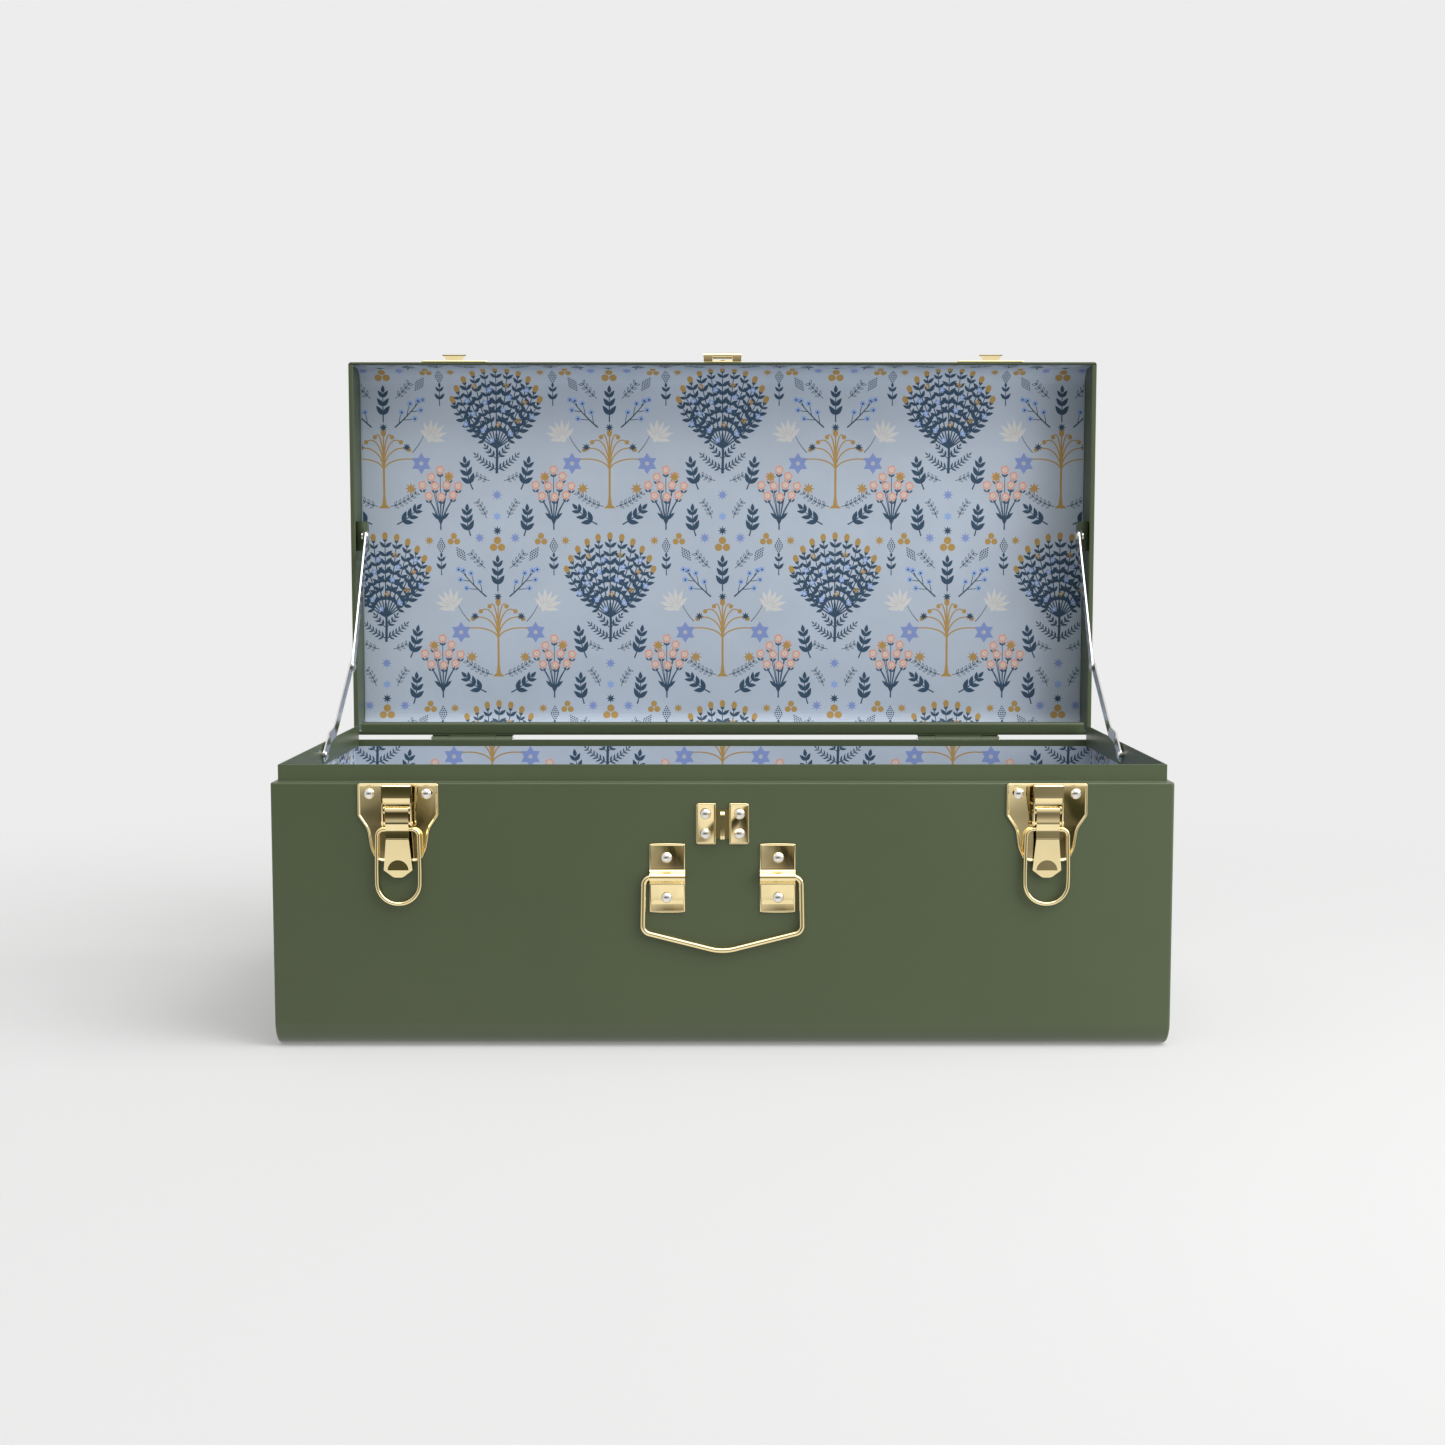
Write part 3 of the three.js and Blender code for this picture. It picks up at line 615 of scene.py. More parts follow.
def make_lid_shell():
    solid = shell(lambda inset: canopy(inset, LID_RIM, LID_RIM)[::-1])
    hem = 2.4 * MM
    fold = LID_RIM - 0.12 * MM
    depths = (FRONT + 0.3 * MM, FRONT + hem)
    front_hem = panel(depths, (fold, LID_RIM + 6 * MM), (0.5, 1.0, 0.6, 0))
    solid.prism(front_hem, in_side_plane, -HALF_WIDTH + END_BEND, HALF_WIDTH - END_BEND)
    solid.moved(OPENED)
    make_piece(
        "lid_shell", solid, GREEN, "lid",
        ("lid_wrap", "lid_end_left", "lid_end_right"), sharp=40,
    )
    for side, sign in SIDES:
        strip = Solid()
        low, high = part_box(f"lid_end_{side}")
        width = high.x - low.x
        outline = panel((0.4 * MM, width), (fold, LID_RIM + 2.2 * MM), (0.5, 1.1, 0.9, 0))

        def place(u, v, w, sign=sign):
            return Vector((sign * (HALF_WIDTH - u), w, v))

        strip.prism(outline, place, FRONT + END_BEND, HALF_DEPTH - 2 * MM)
        strip.moved(OPENED)
        make_piece(f"lid_rim_flange_{side}", strip, GREEN, "lid", sharp=30)


def make_rear_rail():
    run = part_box("lid_rear_rail")[1].x
    depths = (HALF_DEPTH - SHEET, HALF_DEPTH - 13.8 * MM)
    outline = panel(depths, (LID_RIM, LID_RIM + 10 * MM), (1.2, 3.2, 4.0, 0), 8)
    solid = Solid().prism(outline, in_side_plane, -run, run).moved(OPENED)
    make_piece("lid_rear_rail_bar", solid, GREEN, "lid", ("lid_rear_rail",), sharp=30)


# ---- hinges ----


HINGE_HALF = 44.5 * MM


def knuckled_leaf(centre, up, knuckles):
    """A hinge leaf with its rolled knuckles, running up (1) or down (-1) from the pin."""
    face = HALF_DEPTH + 0.3 * MM
    near, far = HINGE_Z + up * 6 * MM, HINGE_Z + up * 30 * MM
    plate = 1.6 * MM
    widths = (centre - HINGE_HALF, centre + HINGE_HALF)
    outline = panel(widths, (near, far), (0.6, 0.6, 3, 3))

    def place(u, v, w):
        return Vector((u, face + w, v))

    solid = Solid().pressed(outline, [(0, 0), (0, plate - 0.5 * MM), (0.5 * MM, plate)], place)
    roll = 4.6 * MM
    for start, end in knuckles:
        ring = circle(HINGE_Y, HINGE_Z, roll, 40)
        bore = circle(HINGE_Y, HINGE_Z, 2.2 * MM, 24)
        solid.prism(ring, in_side_plane, centre + start, centre + end, [bore])
        neck = [(face, HINGE_Z - up * 0.2 * MM), (face + plate, HINGE_Z - up * 0.2 * MM)]
        neck += [(face + plate, near + up * MM), (face, near + up * MM)]
        solid.prism(neck, in_side_plane, centre + start, centre + end)
    for x in (-30 * MM, 0, 30 * MM):
        at = (centre + x, face + plate - 0.2 * MM, HINGE_Z + up * 18 * MM)
        solid.turned(rivet_profile(4 * MM, 2 * MM), at, (0, 1, 0), 28)
    return solid


def make_hinges():
    knuckle, slack = 19 * MM, 0.15 * MM
    inner = HINGE_HALF - knuckle
    reach = HINGE_HALF / MM
    pin_end = [(1.7, reach + 0.3), (2.6, reach + 0.3), (2.6, reach + 1.1)]
    pin_end += [(2.0, reach + 1.6), (0, reach + 1.6)]
    for side, _ in SIDES:
        low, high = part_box(f"hinge_base_leaf_{side}")
        centre = (low.x + high.x) / 2
        outer = [(-HINGE_HALF, -inner - slack), (inner + slack, HINGE_HALF)]
        leaf = knuckled_leaf(centre, -1, outer)
        make_piece(
            f"base_hinge_leaf_{side}", leaf, GREEN, "base",
            (f"hinge_base_leaf_{side}",), edge=0.25 * MM, segments=2,
        )
        leaf = knuckled_leaf(centre, 1, [(-inner + slack, inner - slack)]).moved(OPENED)
        make_piece(
            f"lid_hinge_leaf_{side}", leaf, GREEN, "lid",
            (f"hinge_lid_leaf_{side}",), edge=0.25 * MM, segments=2,
        )
        place = (centre, HINGE_Y, HINGE_Z)
        pin = Solid().turned(two_ended(pin_end), place, (1, 0, 0), 24)
        make_piece(
            f"hinge_pintle_{side}", pin, NICKEL, "base", (f"hinge_pin_{side}",)
        )


# ---- rivets ----


def rivet_profile(radius, height):
    """A domed head with a short straight edge."""
    edge = height * 0.14
    crown = height - edge
    ball = (radius * radius + crown * crown) / (2 * crown)
    sweep = math.asin(radius / ball)
    points = [(0, 0), (radius * 0.97, 0), (radius, edge * 0.4)]
    for k in range(9):
        angle = sweep * (1 - k / 8)
        points.append((ball * math.sin(angle), edge + ball * math.cos(angle) - (ball - crown)))
    points[-1] = (radius * 0.02, height)
    return points + [(0, height)]


def make_rivets():
    for name in sorted(frame["nodes"]):
        if "_rivet_" not in name or name.startswith("stay"):
            continue
        low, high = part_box(name)
        centre = (low + high) / 2
        at = (centre.x, high.y, centre.z)
        head = Solid().turned(rivet_profile((high.z - low.z) / 2, high.y - low.y), at, (0, -1, 0), 40)
        make_piece(name + "_head", head, NICKEL, "base", (name,), sharp=50)


# ---- drawbolts ----

ROLLED_EDGE = mm((0, 0.3), (0, 1.3), (0.25, 1.9), (0.8, 2.25), (1.4, 2.1), (2.1, 1.3), (2.7, 1.1))


def strip_along(solid, profile, x, thickness):
    """A bent strip from (out, up, half width) points along its face."""
    points = [Vector((out, up)) for out, up, _ in profile]
    count = len(points)
    loops = []
    for i, (_, _, half) in enumerate(profile):
        before, after = points[max(i - 1, 0)], points[min(i + 1, count - 1)]
        along = (after - before).normalized()
        inward = Vector((along.y, -along.x))
        if inward.x > 0:
            inward = -inward
        face, back = points[i], points[i] + inward * thickness
        loops.append([
            Vector((x + u, FRONT - p.x, p.y))
            for u, p in ((-half, face), (half, face), (half, back), (-half, back))
        ])
    return solid.rings(loops)


def make_latch_plate(side, x):
    foot, top = (corner.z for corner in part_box(f"latch_plate_{side}"))
    half = [
        (15 * MM, foot, 3 * MM),
        (20.5 * MM, foot + 1.3 * MM, 5 * MM),
        (25.4 * MM, foot + 12.3 * MM, 24 * MM),
        (28.0 * MM, foot + 29.3 * MM, 16 * MM),
        (36.4 * MM, foot + 41.8 * MM, 4 * MM),
        (36.4 * MM, top, 2.6 * MM),
    ]
    outline = fillet(mirrored(half), steps=8)
    solid = Solid().pressed(outline, ROLLED_EDGE, on_front(x))
    pivot_out, pivot_up = lever_pivot(side)
    ear = fillet(
        [
            (1 * MM, pivot_up - 5 * MM, 0),
            (pivot_out + 2.9 * MM, pivot_up - 3.2 * MM, 2.8 * MM),
            (pivot_out + 2.9 * MM, pivot_up + 3.2 * MM, 2.8 * MM),
            (1 * MM, pivot_up + 5 * MM, 0),
        ]
    )
    hole = circle(pivot_out, pivot_up, 1.6 * MM, 20)
    for offset in (-11.9 * MM, 10.7 * MM):
        solid.prism(ear, along_width(x), offset, offset + 1.2 * MM, [hole])
    make_piece(
        f"drawbolt_plate_{side}", solid, BRASS, "base",
        (f"latch_plate_{side}",), edge=0.15 * MM, sharp=50, segments=2,
    )


def lever_pivot(side):
    _, y, z = JOINTS[f"latch_lever_{side}_lift"]["pos_m"]
    return FRONT - y, z


def link_pivot(side):
    _, y, z = JOINTS[f"draw_link_{side}_pivot"]["pos_m"]
    return FRONT - y, z


def make_latch_lever(side, x):
    out, up = lever_pivot(side)
    link_out, link_up = link_pivot(side)
    narrow = 10.3 * MM
    neck = [
        (out + 1.2 * MM, up + 1.9 * MM, narrow),
        (out + 2.0 * MM, up + 0.6 * MM, narrow),
        (out + 2.1 * MM, up - 3 * MM, narrow),
        (link_out + 1.8 * MM, link_up + 2.4 * MM, narrow),
        (link_out + 2.5 * MM, link_up + 0.6 * MM, narrow),
        (link_out + 2.2 * MM, link_up - 1.6 * MM, narrow),
        (link_out + 0.6 * MM, link_up - 4.2 * MM, narrow),
        (link_out + 0.4 * MM, link_up - 6.8 * MM, narrow),
        (link_out + 0.7 * MM, link_up - 14.4 * MM, narrow),
    ]
    solid = strip_along(Solid(), neck, x, 1.3 * MM)
    tip_up, root_up = link_up - 49.2 * MM, link_up - 13.4 * MM
    tongue = fillet(
        mirrored([
            (4 * MM, tip_up, 6 * MM),
            (12.9 * MM, tip_up + 6.8 * MM, 0.8 * MM),
            (10.3 * MM, root_up - 1.4 * MM, 0),
            (10.3 * MM, root_up, 0.6 * MM),
        ]),
        steps=7,
    )
    scoop_up, scoop = tip_up + 6.6 * MM, 9.4 * MM
    scoop_hole = arc(0, scoop_up, scoop, 0, 180, 20)
    face = link_out + 0.7 * MM
    lean = 0.09  # the tongue draws in towards its tip

    def leaning(u, v, w):
        return Vector((x + u, FRONT - w + (root_up - v) * lean, v))

    solid.prism(tongue, leaning, face - 1.3 * MM, face, [scoop_hole])
    flush = face - (root_up - scoop_up) * lean
    dish = arc(0, scoop_up, scoop + 0.5 * MM, 0, 180, 20) + [(-scoop, scoop_up - 0.5 * MM)]
    dish += [(scoop, scoop_up - 0.5 * MM)]
    solid.prism(dish, on_front(x), flush - 0.9 * MM, flush - 0.2 * MM)
    solid.turned(rod(1.2, 12), (x, FRONT - out, up), (1, 0, 0), 20)
    roll = rod(1.9, 10.3)
    solid.turned(roll, (x, FRONT - out, up), (1, 0, 0), 24)
    long_pin = two_ended([(1.2, 13.6), (1.9, 13.6), (1.9, 13.9), (1.6, 14.2), (0, 14.2)])
    solid.turned(long_pin, (x, FRONT - link_out, link_up), (1, 0, 0), 20)
    solid.turned(roll, (x, FRONT - link_out, link_up), (1, 0, 0), 24)
    make_piece(
        f"drawbolt_lever_{side}", solid, BRASS, f"latch_lever_{side}",
        (f"latch_lever_{side}",), edge=0.3 * MM, sharp=40,
    )


def make_draw_link(side, x):
    out, up = link_pivot(side)
    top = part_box(f"draw_link_{side}")[1].z
    arm = fillet(
        [
            (out - 1.6 * MM, top, 0.4 * MM),
            (out - 2.4 * MM, up - 2.5 * MM, 2.4 * MM),
            (out + 2.4 * MM, up - 2.5 * MM, 2.4 * MM),
            (out + 3.4 * MM, up + 19.2 * MM, 3 * MM),
            (out + 3.4 * MM, top, 1.2 * MM),
        ]
    )
    hole = circle(out, up, 1.5 * MM, 20)
    solid = Solid()
    for start in (-13.4 * MM, 12.2 * MM):
        solid.prism(arm, along_width(x), start, start + 1.2 * MM, [hole])
    wide = 13.4 * MM
    bridge = [
        (out - 1.4 * MM, top, wide),
        (out + 2.2 * MM, top, wide),
        (out + 3.4 * MM, top - 1.2 * MM, wide),
        (out + 3.5 * MM, top - 6 * MM, wide),
        (out + 3.3 * MM, top - 11.9 * MM, wide),
    ]
    strip_along(solid, bridge, x, 1.2 * MM)
    sill = [
        (out + 2.3 * MM, top - 11.6 * MM, 12.4 * MM),
        (out + 1.5 * MM, top - 14 * MM, 12.4 * MM),
        (out + 1.3 * MM, top - 17.6 * MM, 12.4 * MM),
    ]
    strip_along(solid, sill, x, 1.0 * MM)
    make_piece(
        f"drawbolt_link_{side}", solid, BRASS, f"draw_link_{side}",
        (f"draw_link_{side}",), edge=0.25 * MM, sharp=40,
    )


def make_pull_ring(side, x):
    low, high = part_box(f"pull_ring_{side}")
    wire = 1.9 * MM
    half = (high.x - low.x) / 2 - wire
    depth = FRONT - (low.y + high.y) / 2
    top, bottom = high.z - wire, low.z + wire
    path = fillet(
        [
            (half * 0.96, top, 6.5 * MM),
            (-half * 0.96, top, 6.5 * MM),
            (-half, bottom + half * 1.5, 60 * MM),
            (-half * 0.985, bottom, half * 0.96),
            (half * 0.985, bottom, half * 0.96),
            (half, bottom + half * 1.5, 60 * MM),
        ],
        steps=14,
    )
    points = [(x + u, FRONT - depth, v) for u, v in path]
    solid = Solid().wire(points, wire, closed=True)
    make_piece(
        f"drawbolt_ring_{side}", solid, BRASS, f"pull_ring_{side}",
        (f"pull_ring_{side}",), sharp=60,
    )


def make_strike(side, x):
    outline = fillet(
        [
            (-36.1 * MM, LID_RIM + 1.3 * MM, 2 * MM),
            (36.1 * MM, LID_RIM + 1.3 * MM, 2 * MM),
            (36.1 * MM, LID_RIM + 19 * MM, 5 * MM),
            (29 * MM, LID_RIM + 25 * MM, 5 * MM),
            (-29 * MM, LID_RIM + 25 * MM, 5 * MM),
            (-36.1 * MM, LID_RIM + 19 * MM, 5 * MM),
        ]
    )
    solid = Solid().pressed(outline, ROLLED_EDGE, on_front(x))
    flare = fillet(
        mm((-8.5, 1, 0), (8.5, 1, 0), (9.4, 4, 6), (12.5, 8.2, 0.8), (-12.5, 8.2, 0.8), (-9.4, 4, 6))
    )
    lean = 0.22  # the shelf drops towards its lip

    def shelf(u, v, w):
        return Vector((x + u, FRONT - v, w - lean * v))

    solid.prism(flare, shelf, LID_RIM + 3 * MM, LID_RIM + 4.5 * MM)
    heights = (LID_RIM + 1.3 * MM, LID_RIM + 9 * MM)
    lip = panel((-12.5 * MM, 12.5 * MM), heights, (0, 0, 2, 2))
    solid.prism(lip, on_front(x), 6.9 * MM, 8.2 * MM)
    solid.moved(OPENED)
    make_piece(
        f"drawbolt_strike_{side}", solid, BRASS, "lid",
        (f"lid_strike_{side}",), edge=0.3 * MM, sharp=50,
    )
    heads = Solid()
    for offset in (-25 * MM, 25 * MM):
        at = (x + offset, FRONT - 1.1 * MM, LID_RIM + 13 * MM)
        heads.turned(rivet_profile(4.6 * MM, 2.3 * MM), at, (0, -1, 0), 36)
    heads.moved(OPENED)
    make_piece(f"strike_rivets_{side}", heads, NICKEL, "lid", sharp=50)


# ---- centre staple and hasp ----

PRESSED_EDGE = mm((0, 0.3), (0, 1.2), (0.2, 1.6), (0.6, 1.85), (1.2, 1.75), (1.9, 1.45))


def make_staple():
    low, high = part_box("staple")
    middle = (low.z + high.z) / 2
    half_width = high.x
    solid = Solid()
    for sign in (-1, 1):
        leaf = panel((sign * 6.0 * MM, sign * half_width), (low.z, high.z), (1.0, 2.6, 2.6, 1.0))
        solid.pressed(leaf, PRESSED_EDGE, on_front())
    heights = (middle - 13.2 * MM, middle + 13.2 * MM)
    neck = panel((-6.4 * MM, 6.4 * MM), heights, (0, 0, 0, 0))
    solid.prism(neck, on_front(), 0.3 * MM, 1.5 * MM)
    reach = FRONT - low.y
    heights = (middle - 13.4 * MM, middle + 13.4 * MM)
    fin = panel((1 * MM, reach), heights, (0, 4.5, 4.5, 0), 8)
    eye = circle(reach - 4.5 * MM, middle, 3.2 * MM, 28)
    for start, end in ((-1.9 * MM, -0.1 * MM), (0.1 * MM, 1.9 * MM)):
        solid.prism(fin, along_width(), start, end, [eye])
    make_piece(
        "padlock_staple", solid, BRASS, "base", ("staple",),
        edge=0.35 * MM, sharp=50,
    )


def make_hasp():
    out, up = 7.5 * MM, LID_RIM + 5.5 * MM
    plate = panel((-20.4 * MM, 20.4 * MM), (up - 3 * MM, up + 22 * MM), (1.5, 1.5, 3, 3))
    solid = Solid().pressed(plate, PRESSED_EDGE, on_front())
    knuckle = arc(out, up, 3.2 * MM, -90, 90, 14)
    knuckle += [(1.2 * MM, up + 3.2 * MM), (1.2 * MM, up - 3.2 * MM)]
    for start, end in ((-20.4 * MM, -10.9 * MM), (10.9 * MM, 20.4 * MM)):
        solid.prism(knuckle, along_width(), start, end, [circle(out, up, 1.5 * MM, 20)])
    solid.moved(OPENED)
    make_piece(
        "hasp_back_plate", solid, BRASS, "lid", ("hasp_plate",),
        edge=0.3 * MM, sharp=50,
    )

    reach = 43.1 * MM
    strap = Solid()
    outline = fillet(
        mirrored([
            (10.5 * MM, up - 0.5 * MM, 0),
            (10.5 * MM, up + 5 * MM, 0.5 * MM),
            (20.4 * MM, up + 5 * MM, 1.5 * MM),
            (20.4 * MM, up + reach + 12 * MM, 6 * MM),
            (15.0 * MM, up + reach + 19.5 * MM, 5 * MM),
        ])
    )
    heights = (up + reach - 15 * MM, up + reach + 15 * MM)
    slot_hole = panel((-3 * MM, 3 * MM), heights, (1.5, 1.5, 1.5, 1.5))
    strap.prism(outline, on_front(), out - 0.9 * MM, out + 0.9 * MM, [slot_hole])
    strap.turned(rod(3.2, 10.5), (0, FRONT - out, up), (1, 0, 0), 32)
    strap.turned(rod(1.3, 20.9), (0, FRONT - out, up), (1, 0, 0), 20)
    strap.moved(OPENED)
    make_piece(
        "hasp_swinging_strap", strap, BRASS, "hasp_strap", ("hasp_strap",),
        edge=0.35 * MM, sharp=50,
    )


# ---- handle ----


def handle_pivot():
    _, y, z = JOINTS["handle_swing"]["pos_m"]
    return FRONT - y, z


def make_handle_clip(side):
    low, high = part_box(f"handle_clip_{side}")
    x = (low.x + high.x) / 2
    out, up = handle_pivot()
    half = (high.x - low.x) / 2
    crown = 1.0 * MM
    solid = Solid()
    turns = [math.pi * k / 12 for k in range(13)]
    bow = [(half * math.cos(a), crown * math.sin(a)) for a in turns]
    upper = [(-half, up + 5.9 * MM), (half, up + 5.9 * MM)]
    upper += [(u, high.z - crown + v) for u, v in bow]
    lower = [(half, up - 5.9 * MM), (-half, up - 5.9 * MM)]
    lower += [(-u, low.z + crown - v) for u, v in bow]
    solid.pressed(upper, PRESSED_EDGE, on_front(x))
    solid.pressed(lower, PRESSED_EDGE, on_front(x))
    foot_top = low.z + 11.8 * MM
    across, heights = half - 1.3 * MM, (low.z + crown + 0.9 * MM, foot_top)
    foot = panel((-across, across), heights, (1, 1, 3, 3))

    def drawn_in(u, v, w):
        slope = max(v - low.z, 0) * 0.09
        return Vector((x + u, FRONT - (0.75 * MM + w * slope), v))

    solid.prism(foot, drawn_in, 0, 1)
    roll = HANDLE_WIRE + 0.5 * MM
    skin = roll + 1.4 * MM
    profile = [(1.45 * MM, up + 7.4 * MM), (1.55 * MM, up + 6.2 * MM), (2.6 * MM, up + 5.1 * MM)]
    profile += arc(out, up, skin, 66, -66, 16)
    profile += [(2.6 * MM, up - 5.1 * MM), (1.55 * MM, up - 6.2 * MM), (1.45 * MM, up - 7.4 * MM)]
    profile += [(0.4 * MM, up - 7.4 * MM), (0.4 * MM, up - 5.2 * MM), (1.6 * MM, up - 3.6 * MM)]
    profile += arc(out, up, roll, -50, 50, 12)
    profile += [(1.6 * MM, up + 3.6 * MM), (0.4 * MM, up + 5.2 * MM), (0.4 * MM, up + 7.4 * MM)]
    solid.prism(profile, along_width(x), -half, half)
    make_piece(
        f"bail_clip_{side}", solid, BRASS, "base", (f"handle_clip_{side}",),
        edge=0.25 * MM, sharp=50, segments=2,
    )


HANDLE_WIRE = 2.5 * MM


def make_bail():
    low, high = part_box("handle_bail")
    out, up = handle_pivot()
    half = high.x - HANDLE_WIRE
    bottom = low.z + HANDLE_WIRE
    shoulder = bottom + 16.7 * MM
    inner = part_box("handle_clip_right")[0].x + 2 * MM
    path = fillet(
        [
            (inner, up, 0),
            (half * 0.985, up, 7 * MM),
            (half, shoulder, 7.5 * MM),
            (0, bottom - 1.5 * MM, 46 * MM),
            (-half, shoulder, 7.5 * MM),
            (-half * 0.985, up, 7 * MM),
            (-inner, up, 0),
        ],
        steps=12,
        closed=False,
    )
    points = [(u, FRONT - out, v) for u, v in path]
    solid = Solid().wire(points, HANDLE_WIRE, sides=24)
    make_piece(
        "bail_handle_wire", solid, BRASS, "handle_bail", ("handle_bail",),
        sharp=60,
    )


# ---- stays ----


def stay_pivots():
    """Base pivot, elbow and lid pivot as (depth, height), worked out from the link lengths."""
    base = JOINTS["stay_lower_right_swing"]["pos_m"][1:]
    lid = JOINTS["stay_upper_right_swing"]["pos_m"][1:]
    lower, upper = 152 * MM, 166 * MM
    span = math.hypot(lid[0] - base[0], lid[1] - base[1])
    rise = math.atan2(lid[1] - base[1], lid[0] - base[0])
    swing = rise - math.acos((lower**2 + span**2 - upper**2) / (2 * lower * span))
    elbow = (base[0] + lower * math.cos(swing), base[1] + lower * math.sin(swing))
    return base, elbow, lid


def link_strip(solid, start, end, run_on, x_at, thickness, width=13 * MM):
    """A flat strip from one pivot past another, whose inner face x_at(distance) may step."""
    along = Vector((end[0] - start[0], end[1] - start[1]))
    length = along.length
    along.normalize()
    across = Vector((-along.y, along.x))
    half = width / 2
    turns = [math.pi / 2 * k / 8 for k in range(9)]
    line = [(-half * math.cos(a), half * math.sin(a)) for a in turns]
    line += [(bend * MM, half) for bend in (26, 30, 34, 38, 42)] + [(length * 0.6, half)]
    line += [(length + run_on + half * math.sin(a), half * math.cos(a)) for a in turns]
    line[0], line[-1] = (line[0][0], 0.6 * MM), (line[-1][0], 0.6 * MM)
    loops = []
    for distance, reach in line:
        centre = Vector(start) + along * distance
        x = x_at(distance)
        loop = []
        for side, face in ((-1, 0), (1, 0), (1, 1), (-1, 1)):
            p = centre + across * reach * side
            loop.append(Vector((x + face * thickness, p.x, p.y)))
        loops.append(loop)
    return solid.rings(loops)


def smooth_step(value, low, high):
    t = min(max((value - low) / (high - low), 0), 1)
    return t * t * (3 - 2 * t)


def make_stays():
    base, elbow, lid = stay_pivots()
    for side, sign in SIDES:
        low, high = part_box(f"stay_upper_{side}")
        upper_face = low.x if sign > 0 else high.x
        thickness = (high.x - low.x) * sign
        upper = link_strip(Solid(), lid, elbow, 0, lambda d: upper_face, thickness)
        head = rivet_profile(4.6 * MM, 2.2 * MM)
        upper.turned(head, (upper_face, *elbow), (-sign, 0, 0), 32)
        make_piece(
            f"stay_upper_link_{side}", upper, NICKEL, f"stay_upper_{side}",
            (f"stay_upper_{side}",), edge=0.4 * MM, sharp=40,
        )
        low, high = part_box(f"stay_lower_{side}")
        lower_face = low.x if sign > 0 else high.x
        step = (high.x - low.x - abs(thickness)) * sign

        def stepped(distance, face=lower_face, step=step):
            return face + step * (1 - smooth_step(distance, 28 * MM, 40 * MM))

        lower = link_strip(Solid(), base, elbow, 11 * MM, stepped, thickness)
        lower.turned(head, (lower_face + thickness, *elbow), (sign, 0, 0), 32)
        make_piece(
            f"stay_lower_link_{side}", lower, NICKEL, f"stay_lower_{side}",
            (f"stay_lower_{side}",), edge=0.4 * MM, sharp=40,
        )
        make_pivot_rivet(f"stay_base_rivet_{side}", sign)
        make_pivot_rivet(f"stay_lid_rivet_{side}", sign)
        make_stay_bracket(side, sign)


def make_pivot_rivet(node, sign):
    low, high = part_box(node)
    middle = (low + high) / 2
    inner = low.x if sign > 0 else high.x
    length = high.x - low.x
    radius = (high.z - low.z) / 2
    profile = [(0, 0), (radius * 0.35, 0.1 * MM), (radius * 0.62, 0.5 * MM)]
    profile += [(radius * 0.86, 1.1 * MM), (radius * 0.98, 1.7 * MM), (radius, 2.2 * MM)]
    profile += [(2.1 * MM, 2.2 * MM), (2.1 * MM, length - 1.2 * MM)]
    profile += [(radius * 0.95, length - 1.2 * MM), (radius * 0.95, length), (0, length)]
    solid = Solid().turned(profile, (inner, middle.y, middle.z), (sign, 0, 0), 36)
    body = "base" if "base" in node else "lid"
    make_piece(node + "_head", solid, NICKEL, body, (node,), sharp=45)


def make_stay_bracket(side, sign):
    """The painted channel on the lid's side wall that carries the upper link."""
    low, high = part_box(f"stay_bracket_{side}")
    pivot_y, pivot_z = JOINTS[f"stay_upper_{side}_swing"]["pos_m"][1:]
    shut_y = HINGE_Y - (pivot_z - HINGE_Z)
    shut_z = HINGE_Z + (pivot_y - HINGE_Y)
    width = high.x - low.x
    sheet = 1.6 * MM
    foot = VALANCE_TOP + 1.6 * MM
    wall = HALF_WIDTH - SHEET
    inner = wall - width - 0.3 * MM
    bend = 5.6 * MM
    outer_line = [(wall, foot + 24 * MM, 0), (wall, foot, bend), (inner, foot, bend)]
    outer_line += [(inner, foot + 16 * MM, 0)]
    inner_line = [(inner + sheet, foot + 16 * MM, 0), (inner + sheet, foot + sheet, bend - sheet)]
    inner_line += [(wall - sheet, foot + sheet, bend - sheet), (wall - sheet, foot + 24 * MM, 0)]
    section = fillet(outer_line + inner_line, steps=8)

    def across(u, v, w):
        return Vector((sign * u, shut_y + w, v))

    half = (high.z - low.z) / 2
    solid = Solid().prism(section, across, -half, half)
    tab = arc(shut_y, shut_z, 7.5 * MM, 180, 360, 16)
    tab += [(shut_y + 7.5 * MM, foot + 12 * MM), (shut_y - 7.5 * MM, foot + 12 * MM)]
    hole = circle(shut_y, shut_z, 2.6 * MM, 20)
    solid.prism(tab, in_side_plane, sign * inner, sign * (inner + sheet), [hole])
    solid.moved(OPENED)
    make_piece(
        f"stay_channel_{side}", solid, GREEN, "lid", (f"stay_bracket_{side}",),
        edge=0.4 * MM, sharp=40,
    )


# ---- printed lining ----

REPEAT_WIDTH = 253 * MM
REPEAT_HEIGHT = 378 * MM


def leaf_shape(x, y, angle, length, width, steps=5, belly=0.8):
    """A pointed leaf that starts at a point and leans to an angle in degrees."""
    c, s = math.cos(math.radians(angle)), math.sin(math.radians(angle))
    side = [
        (length * k / steps, width / 2 * math.sin(math.pi * (k / steps) ** belly))
        for k in range(1, steps)
    ]
    points = [(0, 0)] + [(u, -v) for u, v in side] + [(length, 0)] + side[::-1]
    return [(x + u * c - v * s, y + u * s + v * c) for u, v in points]


